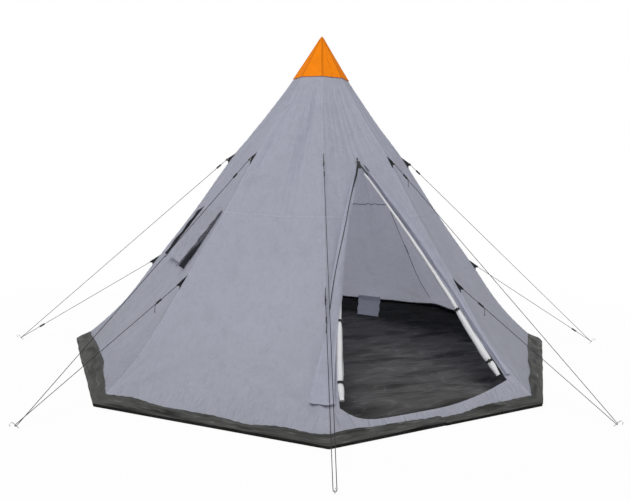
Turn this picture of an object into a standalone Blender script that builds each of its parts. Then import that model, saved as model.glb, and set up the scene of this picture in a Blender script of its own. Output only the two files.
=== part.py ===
"""Eight-sided teepee tent: canopy panels, peak cap, tub groundsheet, centre pole and guy lines.

Metres, +Z up. The origin is on the ground under the peak, and the doorway faces -Y.
Run with: blender --background --python part.py
"""

import math

import bmesh
import bpy
from mathutils import Matrix, Vector

# Canopy
SIDES = 8
ACROSS_FLATS = 3.65
HEIGHT = 2.5
HEM_FLARE = 0.1625
FLARE_HEIGHT = 0.2
FABRIC = 0.004
SEAM_GAP = 0.0004
WALL_STEPS = 16

# Peak cap and groundsheet
CAP_DEPTH = 0.335
CAP_LAP = 0.05
TUB_HEIGHT = 0.075
FLOOR_SHEET = 0.004

# Guy gussets, sewn into the ridges
UPPER_GUSSET_TOP = 1.575
LOWER_GUSSET_TOP = 0.735
GUSSET_LENGTH = 0.1
GUSSET_REACH = 0.036
GUSSET_CORNER_DROP = 0.066
GUSSET_TAB = 0.012
GUSSET_THICKNESS = 0.003
GUSSET_SINK = 0.0035

# Guy ropes, runners and pegs
ROPE_DIAMETER = 0.004
ROPE_STEPS = 7
LOOP_RADIUS = 0.009
LOOP_HEIGHT = 0.022
LOOP_STEPS = 8
PEG_SETBACK = 0.45
PEG_WIRE = 0.005
PEG_SHAFT = 0.05
PEG_HOOK_RADIUS = 0.01
PEG_HOOK_TURN = math.radians(205)
PEG_HOOK_STEPS = 8
RUNNER_LENGTH = 0.05
RUNNER_WIDTH = 0.018
RUNNER_THICKNESS = 0.009
RUNNER_CLEARANCE = 0.0004
UPPER_RUNNER_AT = (0.13, 0.085, 0.12, 0.12, 0.12, 0.075, 0.165, 0.12)
LOWER_RUNNER_AT = (0.165, 1.04, 0.165, 0.165, 0.165, 1.04, 0.165, 0.165)

# Centre pole
POLE_DIAMETER = 0.025
POLE_WALL = 0.0012
POLE_SECTIONS = 4
SPIGOT_LENGTH = 0.08
POLE_FIT = 0.0003
TIP_RADIUS = 0.015
TIP_PLUG = 0.03
FOOT_RADIUS = 0.032
FOOT_BASE = 0.008
FOOT_CUP_HEIGHT = 0.045
FOOT_CUP_WALL = 0.004
TURNED_STEPS = 20

# Doorway: two bowed sides from a peak to the sill's ends, and a sagging sill
DOOR_TOP = 1.51
DOOR_HALF_WIDTH = 0.61
DOOR_CORNER = 0.14
DOOR_SILL = 0.092
DOOR_BOW = 0.048
DOOR_STEPS = 16

# Tied-back door halves, rolled net halves and their ties
SOFT_GAP = 0.0006
ROLL_SIDES = 12
ROLL_STEPS = 14
NET_SPAN = (0.05, 0.96)
NET_RADIUS_TOP = 0.008
NET_RADIUS_FOOT = 0.026
NET_TUCK = math.radians(30)
FLAP_SPAN = (0.05, 0.985)
FLAP_HALF_WIDTH = 0.042
FLAP_HALF_THICKNESS = 0.016
FLAP_EDGE_GAP = 0.004
LEFT_FLAP_FOOT_HALF_WIDTH = 0.055
LEFT_FLAP_FOOT_HALF_THICKNESS = 0.03
LEFT_FLAP_SPILL_FROM = 0.72
LEFT_FLAP_CREST = 0.02
TIE_THICKNESS = 0.002
TIE_WIDTH = 0.015
TIE_AT = {"upper": 0.70, "lower": 0.92}
TIE_CLEAR_SHARE = 0.015
SLIDER_WIDTH = 0.014
SLIDER_LENGTH = 0.032
SLIDER_THICKNESS = 0.007
SLIDER_RAISE = 0.022

# Vent on the left panel, nearer to its front ridge
VENT_OFFSET = 0.09
VENT_HINGE = 1.15
VENT_FLAP_HALF_TOP = 0.25
VENT_FLAP_HALF_FOOT = 0.225
VENT_FLAP_LENGTH = 0.47
VENT_FLAP_THICKNESS = 0.003
VENT_PROP = math.radians(5)
VENT_TOP = 1.12
VENT_FOOT = 0.82
VENT_HALF_TOP = 0.21
VENT_HALF_FOOT = 0.19
VENT_MESH_MARGIN = 0.015
VENT_MESH_THICKNESS = 0.002

# Fabric flap at the foot of the rear wall, inside
REAR_FLAP_WIDTH = 0.25
REAR_FLAP_TOP = 0.115
REAR_FLAP_ON_FLOOR = 0.70
REAR_FLAP_SKEW = 0.21
REAR_FLAP_THICKNESS = 0.004
REAR_FLAP_BEND = 0.012

HALF_SECTOR = math.pi / SIDES
CORNER_RADIUS = ACROSS_FLATS / 2 / math.cos(HALF_SECTOR)
WALL_RUN = (CORNER_RADIUS - HEM_FLARE) / HEIGHT
CAP_EDGE = HEIGHT - CAP_DEPTH
PEG_RADIUS = CORNER_RADIUS + PEG_SETBACK

PANEL_NAMES = (
    "panel_door",
    "panel_right_front",
    "panel_right",
    "panel_right_rear",
    "panel_rear",
    "panel_left_rear",
    "panel_vent",
    "panel_left_front",
)
DOOR_PANEL = 0
REAR_FLAP_PANEL = 3
VENT_PANEL = 6
DOOR_DIRECTION = -math.pi / 2

# Linear base colour, roughness and metallic value of each material
MATERIALS = {
    "canopy_polyester": ((0.35, 0.363, 0.425), 0.8, 0.0),
    "cap_polyester": ((0.95, 0.25, 0.01), 0.75, 0.0),
    "groundsheet_polyethylene": ((0.03, 0.03, 0.033), 0.4, 0.0),
    "net_mesh": ((0.8, 0.8, 0.8), 0.9, 0.0),
    "vent_netting": ((0.02, 0.02, 0.022), 0.9, 0.0),
    "tie_webbing": ((0.025, 0.025, 0.028), 0.85, 0.0),
    "guy_rope_cord": ((0.05, 0.05, 0.055), 0.8, 0.0),
    "runner_plastic": ((0.015, 0.015, 0.016), 0.5, 0.0),
    "peg_steel": ((0.5, 0.5, 0.5), 0.35, 1.0),
    "pole_steel": ((0.55, 0.55, 0.56), 0.35, 1.0),
    "pole_end_plastic": ((0.02, 0.02, 0.02), 0.6, 0.0),
    "slider_metal": ((0.09, 0.09, 0.05), 0.45, 1.0),
}


def clear_scene():
    for item in list(bpy.data.objects):
        bpy.data.objects.remove(item, do_unlink=True)


def material(name):
    found = bpy.data.materials.get(name)
    if found:
        return found
    colour, roughness, metallic = MATERIALS[name]
    made = bpy.data.materials.new(name)
    made.use_nodes = True
    shader = made.node_tree.nodes["Principled BSDF"]
    shader.inputs["Base Color"].default_value = (*colour, 1.0)
    shader.inputs["Roughness"].default_value = roughness
    shader.inputs["Metallic"].default_value = metallic
    return made


def add_empty(name, turn=0.0, parent=None):
    empty = bpy.data.objects.new(name, None)
    bpy.context.collection.objects.link(empty)
    empty.rotation_euler.z = turn
    empty.parent = parent
    return empty


def add_piece(name, data, kind, parent):
    """Link a mesh or a curve as a named piece with its material."""
    piece = bpy.data.objects.new(name, data)
    bpy.context.collection.objects.link(piece)
    piece.parent = parent
    if not data.materials:
        data.materials.append(material(kind))
    return piece


def finish(name, bm, smooth=False):
    bmesh.ops.recalc_face_normals(bm, faces=bm.faces)
    mesh = bpy.data.meshes.new(name)
    bm.to_mesh(mesh)
    bm.free()
    if smooth:
        mesh.shade_smooth()
        mesh.set_sharp_from_angle(angle=math.radians(40))
    return mesh


def loft(name, rings, ring_closed=False, smooth=False):
    """Skin rings of equal length, capped at both ends or closed into a hoop."""
    bm = bmesh.new()
    loops = [[bm.verts.new(point) for point in ring] for ring in rings]
    pairs = list(zip(loops, loops[1:]))
    if ring_closed:
        pairs.append((loops[-1], loops[0]))
    else:
        bm.faces.new(loops[0])
        bm.faces.new(loops[-1])
    for near, far in pairs:
        for i in range(len(near)):
            j = (i + 1) % len(near)
            bm.faces.new((near[i], near[j], far[j], far[i]))
    return finish(name, bm, smooth)


def prism(name, outline, extrude):
    """Extrude a flat outline along a vector."""
    bm = bmesh.new()
    face = bm.faces.new([bm.verts.new(point) for point in outline])
    moved = bmesh.ops.extrude_face_region(bm, geom=[face])["geom"]
    verts = [item for item in moved if isinstance(item, bmesh.types.BMVert)]
    bmesh.ops.translate(bm, verts=verts, vec=extrude)
    return finish(name, bm)


def turned(name, profile, steps, start=0.0):
    """Spin a closed profile of (radius, height) points about Z."""
    bm = bmesh.new()
    verts = [bm.verts.new((radius, 0.0, height)) for radius, height in profile]
    edges = [bm.edges.new((verts[i - 1], verts[i])) for i in range(len(verts))]
    on_axis = [edge for edge in edges if all(vert.co.x == 0.0 for vert in edge.verts)]
    bmesh.ops.delete(bm, geom=on_axis, context="EDGES_FACES")
    bmesh.ops.rotate(bm, verts=bm.verts, cent=(0, 0, 0), matrix=Matrix.Rotation(start, 3, "Z"))
    bmesh.ops.spin(
        bm,
        geom=list(bm.verts) + list(bm.edges),
        cent=(0, 0, 0),
        axis=(0, 0, 1),
        angle=2 * math.pi,
        steps=steps,
        use_merge=True,
    )
    bmesh.ops.remove_doubles(bm, verts=bm.verts, dist=0.00001)
    return finish(name, bm, smooth=steps > SIDES)


def combine(mesh, tool, operation):
    """Apply one exact Boolean of two meshes and give the new mesh."""
    body = bpy.data.objects.new("body", mesh)
    helper = bpy.data.objects.new("helper", tool)
    bpy.context.collection.objects.link(body)
    bpy.context.collection.objects.link(helper)
    step = body.modifiers.new("step", "BOOLEAN")
    step.operation = operation
    step.object = helper
    view = bpy.context.evaluated_depsgraph_get()
    result = bpy.data.meshes.new_from_object(body.evaluated_get(view))
    result.name = mesh.name
    bpy.data.objects.remove(body)
    bpy.data.objects.remove(helper)
    return result


def tube(name, points, diameter):
    curve = bpy.data.curves.new(name, "CURVE")
    curve.dimensions = "3D"
    curve.bevel_depth = diameter / 2
    curve.bevel_resolution = 2
    curve.use_fill_caps = True
    spline = curve.splines.new("POLY")
    spline.points.add(len(points) - 1)
    for slot, point in zip(spline.points, points):
        slot.co = (*point, 1.0)
    return curve


def wall_radius(height):
    """Ridge radius: a straight cone that flares out towards the hem."""
    return WALL_RUN * (HEIGHT - height) + HEM_FLARE * math.exp(-height / FLARE_HEIGHT)


def wall_heights():
    low = TUB_HEIGHT + SEAM_GAP
    high = CAP_EDGE + CAP_LAP
    return [low + (high - low) * (step / WALL_STEPS) ** 2 for step in range(WALL_STEPS + 1)]


def apothem(height):
    """Distance of a panel's outer face from the pole, along the panel's facets."""
    levels = wall_heights()
    upper = next((i for i, level in enumerate(levels) if level > height), len(levels) - 1)
    upper = max(upper, 1)
    low, high = levels[upper - 1], levels[upper]
    share = (height - low) / (high - low)
    radius = wall_radius(low) + (wall_radius(high) - wall_radius(low)) * share
    return radius * math.cos(HALF_SECTOR)


def wall_lean(height):
    """Angle of the panel from the vertical at a height."""
    probe = 0.005
    return math.atan((apothem(height - probe) - apothem(height + probe)) / (2 * probe))


def wall_normal(height):
    lean = wall_lean(height)
    return Vector((math.cos(lean), 0.0, math.sin(lean)))


def on_wall(across, height, raised=0.0):
    """Point of a panel, in the frame of a panel that faces +X."""
    return Vector((apothem(height), across, height)) + wall_normal(height) * raised


def panel_half_width(distance):
    return distance * math.tan(HALF_SECTOR) - SEAM_GAP / 2 / math.cos(HALF_SECTOR)


def panel_mesh():
    rings = []
    for height in wall_heights():
        outer = apothem(height)
        inner = outer - FABRIC
        rings.append(
            [
                (outer, -panel_half_width(outer), height),
                (outer, panel_half_width(outer), height),
                (inner, panel_half_width(inner), height),
                (inner, -panel_half_width(inner), height),
            ]
        )
    return loft("canopy_panel", rings)


def gusset_corner(top):
    height = top - GUSSET_CORNER_DROP
    side = -SEAM_GAP - GUSSET_THICKNESS / 2
    return Vector((wall_radius(height) + GUSSET_REACH, side, height))


def gusset_mesh(top):
    """Triangular fin with a blunt corner that faces its rope, in the frame of a ridge at +X."""
    corner = gusset_corner(top)
    pull = Vector((PEG_RADIUS, corner.y, LOOP_HEIGHT)) - corner
    tab = Vector((-pull.z, 0.0, pull.x)).normalized() * GUSSET_TAB / 2
    foot = top - GUSSET_LENGTH
    outline = [
        Vector((wall_radius(top) - GUSSET_SINK, 0.0, top)),
        corner + tab,
        corner - tab,
        Vector((wall_radius(foot) - GUSSET_SINK, 0.0, foot)),
    ]
    for point in outline:
        point.y = -SEAM_GAP
    fin = prism("guy_gusset", outline, (0.0, -GUSSET_THICKNESS, 0.0))
    fin.transform(Matrix.Rotation(HALF_SECTOR, 4, "Z"))
    return fin


def door_edge(share, side):
    """Edge of the doorway from its peak (0) to the sill's end (1), as (across, height)."""
    across = DOOR_HALF_WIDTH * share + 4 * DOOR_BOW * share * (1 - share)
    return side * across, DOOR_TOP + (DOOR_CORNER - DOOR_TOP) * share


def door_cutter():
    right = [door_edge(step / DOOR_STEPS, 1) for step in range(DOOR_STEPS + 1)]
    left = [door_edge(step / DOOR_STEPS, -1) for step in range(DOOR_STEPS, 0, -1)]
    sill = []
    for step in range(1, DOOR_STEPS):
        share = 1 - 2 * step / DOOR_STEPS
        sill.append((DOOR_HALF_WIDTH * share, DOOR_SILL + (DOOR_CORNER - DOOR_SILL) * share**2))
    outline = [(0.0, across, height) for across, height in right + sill + left]
    return prism("door_cutter", outline, (ACROSS_FLATS, 0.0, 0.0))


def vent_cutter():
    outline = [
        (0.0, VENT_OFFSET + VENT_HALF_TOP, VENT_TOP),
        (0.0, VENT_OFFSET - VENT_HALF_TOP, VENT_TOP),
        (0.0, VENT_OFFSET - VENT_HALF_FOOT, VENT_FOOT),
        (0.0, VENT_OFFSET + VENT_HALF_FOOT, VENT_FOOT),
    ]
    return prism("vent_cutter", outline, (ACROSS_FLATS, 0.0, 0.0))


def build_panels(sectors):
    plain = panel_mesh()
    for top in (UPPER_GUSSET_TOP, LOWER_GUSSET_TOP):
        plain = combine(plain, gusset_mesh(top), "UNION")
    for index, name in enumerate(PANEL_NAMES):
        mesh = plain
        if index == DOOR_PANEL:
            mesh = combine(plain, door_cutter(), "DIFFERENCE")
        if index == VENT_PANEL:
            mesh = combine(plain, vent_cutter(), "DIFFERENCE")
        add_piece(name, mesh, "canopy_polyester", sectors[index])


def build_cap(root):
    """Orange cone that laps over the panels' upper ends."""
    inner_offset = SEAM_GAP / math.cos(HALF_SECTOR)
    outer_offset = (SEAM_GAP + FABRIC) / math.cos(HALF_SECTOR)
    inner_top = HEIGHT - FABRIC
    profile = [
        (wall_radius(CAP_EDGE) + outer_offset, CAP_EDGE),
        (wall_radius(HEIGHT) + outer_offset, HEIGHT),
        (0.0, HEIGHT),
        (0.0, inner_top),
        (wall_radius(inner_top) + inner_offset, inner_top),
        (wall_radius(CAP_EDGE) + inner_offset, CAP_EDGE),
    ]
    add_piece("peak_cap", turned("peak_cap", profile, SIDES, HALF_SECTOR), "cap_polyester", root)


def build_groundsheet(root):
    """Floor and low sloping band, one welded sheet."""
    band = FABRIC / math.cos(HALF_SECTOR)
    profile = [
        (0.0, 0.0),
        (wall_radius(0.0), 0.0),
        (wall_radius(TUB_HEIGHT), TUB_HEIGHT),
        (wall_radius(TUB_HEIGHT) - band, TUB_HEIGHT),
        (wall_radius(FLOOR_SHEET) - 2 * band, FLOOR_SHEET),
        (0.0, FLOOR_SHEET),
    ]
    mesh = turned("groundsheet_tub", profile, SIDES, HALF_SECTOR)
    add_piece("groundsheet_tub", mesh, "groundsheet_polyethylene", root)


def guy_slope():
    """Mean slope of a ridge's two lines, which its peg leans square to."""
    slopes = []
    for top in (UPPER_GUSSET_TOP, LOWER_GUSSET_TOP):
        corner = gusset_corner(top)
        slopes.append(math.atan2(corner.z - LOOP_HEIGHT, PEG_RADIUS - corner.x))
    return sum(slopes) / 2


def rope_loop():
    """Half turn round the peg's shaft, from the upper line to the lower one."""
    slope = guy_slope()
    inward = Vector((-math.cos(slope), 0.0, math.sin(slope)))
    seat = LOOP_RADIUS - PEG_WIRE / 2 - ROPE_DIAMETER / 2 - POLE_FIT
    centre = Vector((PEG_RADIUS, 0.0, LOOP_HEIGHT)) + inward * seat
    points = []
    for step in range(LOOP_STEPS + 1):
        turn = math.pi / 2 - math.pi * step / LOOP_STEPS
        sideways = Vector((0.0, math.sin(turn), 0.0))
        points.append(centre + (sideways - inward * math.cos(turn)) * LOOP_RADIUS)
    return points


def rope_line(top, end):
    """Start and direction of the straight line from a gusset's corner to the loop's end."""
    corner = gusset_corner(top)
    along = (end - corner).normalized()
    return corner + along * SEAM_GAP, along


def guy_rope_points():
    loop = rope_loop()
    upper, _ = rope_line(UPPER_GUSSET_TOP, loop[0])
    lower, _ = rope_line(LOWER_GUSSET_TOP, loop[-1])
    shares = [step / ROPE_STEPS for step in range(ROPE_STEPS)]
    down = [upper.lerp(loop[0], share) for share in shares]
    up = [lower.lerp(loop[-1], share) for share in reversed(shares)]
    return down + loop + up


def peg_points():
    """Hooked wire peg, from the ground up; the rest of its shaft is in the soil."""
    slope = guy_slope()
    shaft = Vector((math.sin(slope), 0.0, math.cos(slope)))
    outward = Vector((math.cos(slope), 0.0, -math.sin(slope)))
    seat = Vector((PEG_RADIUS, 0.0, LOOP_HEIGHT))
    lowest = PEG_WIRE / 2 * math.sin(slope) + SEAM_GAP / 2
    foot = seat - shaft * ((LOOP_HEIGHT - lowest) / shaft.z)
    bend = foot + shaft * PEG_SHAFT
    centre = bend + outward * PEG_HOOK_RADIUS
    points = [foot, seat]
    for step in range(PEG_HOOK_STEPS + 1):
        turn = PEG_HOOK_TURN * step / PEG_HOOK_STEPS
        points.append(centre + (shaft * math.sin(turn) - outward * math.cos(turn)) * PEG_HOOK_RADIUS)
    return points


def runner_mesh():
    """Flat slider with round ends and a bore along its length, its rope's axis on local X."""
    end = RUNNER_WIDTH / 2
    straight = RUNNER_LENGTH / 2 - end
    arc_steps = 6
    outline = []
    for centre, start in ((straight, -math.pi / 2), (-straight, math.pi / 2)):
        for step in range(arc_steps + 1):
            turn = start + math.pi * step / arc_steps
            across = centre + end * math.cos(turn)
            outline.append((across, -RUNNER_THICKNESS / 2, end * math.sin(turn)))
    body = prism("guy_runner", outline, (0.0, RUNNER_THICKNESS, 0.0))
    bore_sides = 12
    radius = (ROPE_DIAMETER / 2 + RUNNER_CLEARANCE) / math.cos(math.pi / bore_sides)
    circle = []
    for step in range(bore_sides):
        turn = 2 * math.pi * step / bore_sides
        circle.append((-RUNNER_LENGTH, radius * math.cos(turn), radius * math.sin(turn)))
    return combine(body, prism("bore", circle, (2 * RUNNER_LENGTH, 0.0, 0.0)), "DIFFERENCE")


def place_runner(name, mesh, ridge, start, along, distance):
    runner = add_piece(name, mesh, "runner_plastic", ridge)
    side = along.cross(Vector((0.0, 0.0, 1.0))).normalized()
    raised = side.cross(along)
    axes = Matrix((along, -side, raised)).transposed()
    runner.location = start + along * distance
    runner.rotation_euler = axes.to_euler()


def build_guy_lines(ridges):
    loop = rope_loop()
    rope = tube("guy_rope", guy_rope_points(), ROPE_DIAMETER)
    peg = tube("peg", peg_points(), PEG_WIRE)
    runner = runner_mesh()
    upper_start, upper_along = rope_line(UPPER_GUSSET_TOP, loop[0])
    lower_start, lower_along = rope_line(LOWER_GUSSET_TOP, loop[-1])
    for index, ridge in enumerate(ridges):
        number = index + 1
        add_piece(f"guy_rope_{number}", rope, "guy_rope_cord", ridge)
        add_piece(f"peg_{number}", peg, "peg_steel", ridge)
        upper_at = UPPER_RUNNER_AT[index]
        lower_at = LOWER_RUNNER_AT[index]
        place_runner(f"runner_upper_{number}", runner, ridge, upper_start, upper_along, upper_at)
        place_runner(f"runner_lower_{number}", runner, ridge, lower_start, lower_along, lower_at)


def tip_centre():
    """Height where the tip's dome rests inside the peak cap."""
    lean = math.atan(WALL_RUN * math.cos(HALF_SECTOR))
    reach = (TIP_RADIUS + POLE_FIT) / math.cos(lean) - SEAM_GAP
    return HEIGHT - reach / math.tan(lean)


def pole_foot_height():
    """Height of the lowest section's end, inside the foot's cup."""
    return FLOOR_SHEET + POLE_FIT + FOOT_BASE + POLE_FIT


def build_pole(root):
    outer = POLE_DIAMETER / 2
    inner = outer - POLE_WALL
    spigot = inner - POLE_FIT
    low = pole_foot_height()
    length = (tip_centre() - POLE_FIT - low) / POLE_SECTIONS
    for index in range(POLE_SECTIONS):
        foot = low + index * length
        top = foot + length - POLE_FIT
        profile = [(inner, foot), (outer, foot), (outer, top)]
        if index < POLE_SECTIONS - 1:
            profile += [
                (spigot, top),
                (spigot, top + SPIGOT_LENGTH),
                (spigot - POLE_WALL, top + SPIGOT_LENGTH),
                (spigot - POLE_WALL, top - 2 * POLE_WALL),
                (inner, top - 3 * POLE_WALL),
            ]
        else:
            profile.append((inner, top))
        name = f"pole_section_{index + 1}"
        add_piece(name, turned(name, profile, TURNED_STEPS), "pole_steel", root)
    build_pole_foot(root, outer)
    build_pole_tip(root, inner)


def build_pole_foot(root, pole_radius):
    floor = FLOOR_SHEET + POLE_FIT
    bore = pole_radius + POLE_FIT
    cup = bore + FOOT_CUP_WALL
    profile = [
        (0.0, floor),
        (FOOT_RADIUS, floor),
        (FOOT_RADIUS, floor + FOOT_BASE / 2),
        (cup + FOOT_CUP_WALL, floor + FOOT_BASE),
        (cup, floor + FOOT_CUP_HEIGHT),
        (bore, floor + FOOT_CUP_HEIGHT),
        (bore, floor + FOOT_BASE),
        (0.0, floor + FOOT_BASE),
    ]
    add_piece("pole_foot", turned("pole_foot", profile, TURNED_STEPS), "pole_end_plastic", root)


def build_pole_tip(root, pole_bore):
    """Dome that carries the peak cap, on a plug in the top section."""
    centre = tip_centre()
    plug = pole_bore - POLE_FIT
    profile = [(0.0, centre - TIP_PLUG), (plug, centre - TIP_PLUG), (plug, centre)]
    dome_steps = 6
    for step in range(dome_steps):
        turn = math.pi / 2 * step / dome_steps
        profile.append((TIP_RADIUS * math.cos(turn), centre + TIP_RADIUS * math.sin(turn)))
    profile.append((0.0, centre + TIP_RADIUS))
    add_piece("pole_tip", turned("pole_tip", profile, TURNED_STEPS), "pole_end_plastic", root)


def edge_frame(share, side):
    """Point of the doorway's edge, with its directions along, out of the wall and into the doorway."""
    probe = 0.004
    point = on_wall(*door_edge(share, side))
    along = (on_wall(*door_edge(share + probe, side)) - on_wall(*door_edge(share - probe, side))).normalized()
    outward = wall_normal(point.z)
    outward = (outward - along * outward.dot(along)).normalized()
    inward = along.cross(outward) * side
    return point, along, outward, inward


def ellipse(centre, first, second):
    turns = [2 * math.pi * step / ROLL_SIDES for step in range(ROLL_SIDES)]
    return [centre + first * math.cos(turn) + second * math.sin(turn) for turn in turns]


def net_radius(share):
    return NET_RADIUS_TOP + (NET_RADIUS_FOOT - NET_RADIUS_TOP) * share


def net_centre(share, side):
    """Middle of the rolled net, tucked behind the doorway's edge with room for a tie between them."""
    point, along, outward, inward = edge_frame(share, side)
    inner_edge = point - Vector((FABRIC, 0.0, 0.0))
    reach = net_radius(share) + TIE_THICKNESS + 2 * SOFT_GAP
    tuck = inward * math.cos(NET_TUCK) - outward * math.sin(NET_TUCK)
    return inner_edge + tuck * reach, along, outward, inward


def span_shares(span, steps):
    return [span[0] + (span[1] - span[0]) * step / steps for step in range(steps + 1)]


def net_ring(share, side, shift=0.0):
    """Section of the rolled net, moved along the roll by a small shift."""
    centre, along, outward, inward = net_centre(share, side)
    radius = net_radius(share)
    return ellipse(centre + along * shift, inward * radius, outward * radius)


def build_net(name, side, parent):
    """Tapering roll that runs straight through each of its ties."""
    ties = TIE_AT.values()
    shares = span_shares(NET_SPAN, ROLL_STEPS)
    free = [share for share in shares if all(abs(share - tie) > TIE_CLEAR_SHARE for tie in ties)]
    rings = [(share, net_ring(share, side)) for share in free]
    for tie in ties:
        rings.append((tie - TIE_CLEAR_SHARE, net_ring(tie, side, -TIE_WIDTH)))
        rings.append((tie + TIE_CLEAR_SHARE, net_ring(tie, side, TIE_WIDTH)))
    rings.sort(key=lambda entry: entry[0])
    mesh = loft(name, [ring for _, ring in rings], smooth=True)
    add_piece(name, mesh, "net_mesh", parent)


def build_tie(name, share, side, parent):
    """Webbing loop round the rolled net."""
    centre, along, outward, inward = net_centre(share, side)
    inside = net_radius(share) + SOFT_GAP
    outside = inside + TIE_THICKNESS
    half = along * TIE_WIDTH / 2
    loops = (
        ellipse(centre - half, inward * inside, outward * inside),
        ellipse(centre - half, inward * outside, outward * outside),
        ellipse(centre + half, inward * outside, outward * outside),
        ellipse(centre + half, inward * inside, outward * inside),
    )
    add_piece(name, loft(name, loops, ring_closed=True), "tie_webbing", parent)


def flap_half_width(share):
    """Half the strip of wall beside the doorway, up to the bundle's own half width."""
    across, height = door_edge(share, 1)
    strip = panel_half_width(apothem(height)) - across
    return min(FLAP_HALF_WIDTH, strip / 2 - FLAP_EDGE_GAP)


def right_flap_ring(share):
    point, _, outward, inward = edge_frame(share, 1)
    half_width = flap_half_width(share)
    thickness = FLAP_HALF_THICKNESS
    centre = point - inward * (half_width + FLAP_EDGE_GAP) + outward * (thickness + SOFT_GAP)
    return ellipse(centre, inward * half_width, outward * thickness)


def left_flap_ring(share):
    """As the right one, then swelling and spilling over the ridge towards the hem."""
    point, _, outward, inward = edge_frame(share, -1)
    half_width = flap_half_width(share)
    spill = max(0.0, (share - LEFT_FLAP_SPILL_FROM) / (FLAP_SPAN[1] - LEFT_FLAP_SPILL_FROM))
    spill = spill * spill * (3 - 2 * spill)
    thickness = FLAP_HALF_THICKNESS + (LEFT_FLAP_FOOT_HALF_THICKNESS - FLAP_HALF_THICKNESS) * spill
    width = half_width + (LEFT_FLAP_FOOT_HALF_WIDTH - half_width) * spill
    crest = thickness + SOFT_GAP + LEFT_FLAP_CREST * spill * (1 - spill)
    on_strip = point - inward * (half_width + FLAP_EDGE_GAP) + outward * crest
    ridge_turn = Matrix.Rotation(-HALF_SECTOR, 3, "Z")
    ridge_normal = ridge_turn @ wall_normal(point.z)
    ridge_across = ridge_turn @ Vector((0.0, 1.0, 0.0))
    ridge = ridge_turn @ Vector((apothem(point.z) / math.cos(HALF_SECTOR), 0.0, point.z))
    on_ridge = ridge + ridge_normal * crest
    centre = on_strip.lerp(on_ridge, spill)
    across = inward.lerp(ridge_across, spill).normalized()
    outward = outward.lerp(ridge_normal, spill)
    outward = (outward - across * outward.dot(across)).normalized()
    return ellipse(centre, across * width, outward * thickness)


def build_door(parent):
    shares = span_shares(FLAP_SPAN, ROLL_STEPS)
    right = loft("door_flap_right", [right_flap_ring(share) for share in shares], smooth=True)
    left = loft("door_flap_left", [left_flap_ring(share) for share in shares], smooth=True)
    add_piece("door_flap_right", right, "canopy_polyester", parent)
    add_piece("door_flap_left", left, "canopy_polyester", parent)
    for side, word in ((1, "right"), (-1, "left")):
        build_net(f"net_{word}", side, parent)
        for level, share in TIE_AT.items():
            build_tie(f"door_tie_{word}_{level}", share, side, parent)
    build_slider(parent)


def build_slider(parent):
    """Zip slider and its pull, parked above the doorway's peak; local Z runs up the wall."""
    half = SLIDER_WIDTH / 2
    low = -SLIDER_LENGTH / 2
    high = SLIDER_LENGTH / 2
    neck = half / 2
    outline = [
        (0.0, -half, high),
        (0.0, half, high),
        (0.0, half, high / 4),
        (0.0, neck, 0.0),
        (0.0, neck, low),
        (0.0, -neck, low),
        (0.0, -neck, 0.0),
        (0.0, -half, high / 4),
    ]
    mesh = prism("door_zip_slider", outline, (SLIDER_THICKNESS, 0.0, 0.0))
    slider = add_piece("door_zip_slider", mesh, "slider_metal", parent)
    height = DOOR_TOP + SLIDER_RAISE
    slider.location = on_wall(0.0, height, SEAM_GAP)
    slider.rotation_euler.y = -wall_lean(height)


def build_vent(parent):
    """Flap hinged in the lap seam and propped open, over a netting panel inside the wall."""
    top = VENT_FLAP_HALF_TOP
    foot = VENT_FLAP_HALF_FOOT
    outline = [
        (0.0, -top, 0.0),
        (0.0, top, 0.0),
        (0.0, foot, -VENT_FLAP_LENGTH),
        (0.0, -foot, -VENT_FLAP_LENGTH),
    ]
    mesh = prism("vent_flap", outline, (VENT_FLAP_THICKNESS, 0.0, 0.0))
    flap = add_piece("vent_flap", mesh, "canopy_polyester", parent)
    flap.location = on_wall(VENT_OFFSET, VENT_HINGE, SOFT_GAP)
    flap.rotation_euler.y = -wall_lean(VENT_HINGE) - VENT_PROP
    rings = []
    steps = 4
    low = VENT_FOOT - VENT_MESH_MARGIN
    high = VENT_TOP + VENT_MESH_MARGIN
    half = max(VENT_HALF_TOP, VENT_HALF_FOOT) + VENT_MESH_MARGIN
    for step in range(steps + 1):
        height = low + (high - low) * step / steps
        outer = apothem(height) - FABRIC - SOFT_GAP
        inner = outer - VENT_MESH_THICKNESS
        corners = ((outer, -half), (outer, half), (inner, half), (inner, -half))
        rings.append([(distance, VENT_OFFSET + across, height) for distance, across in corners])
    add_piece("vent_mesh", loft("vent_mesh", rings), "vent_netting", parent)


def build_rear_flap(parent):
    """Fabric flap that hangs from the wall above the groundsheet's band and lies askew on the floor."""
    half = REAR_FLAP_WIDTH / 2
    outer = apothem(REAR_FLAP_TOP) - FABRIC - SOFT_GAP
    inner = outer - REAR_FLAP_THICKNESS
    under = FLOOR_SHEET + SOFT_GAP
    over = under + REAR_FLAP_THICKNESS
    end = outer - REAR_FLAP_ON_FLOOR
    profile = [
        (outer, REAR_FLAP_TOP),
        (outer, under + REAR_FLAP_BEND),
        (outer - REAR_FLAP_BEND, under),
        (end, under),
        (end, over),
        (inner - REAR_FLAP_BEND, over),
        (inner, over + REAR_FLAP_BEND),
        (inner, REAR_FLAP_TOP),
    ]
    outline = []
    for distance, height in profile:
        askew = REAR_FLAP_SKEW * (outer - distance)
        outline.append((distance, -half - askew, height))
    mesh = prism("rear_flap", outline, (0.0, REAR_FLAP_WIDTH, 0.0))
    add_piece("rear_flap", mesh, "canopy_polyester", parent)


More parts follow.
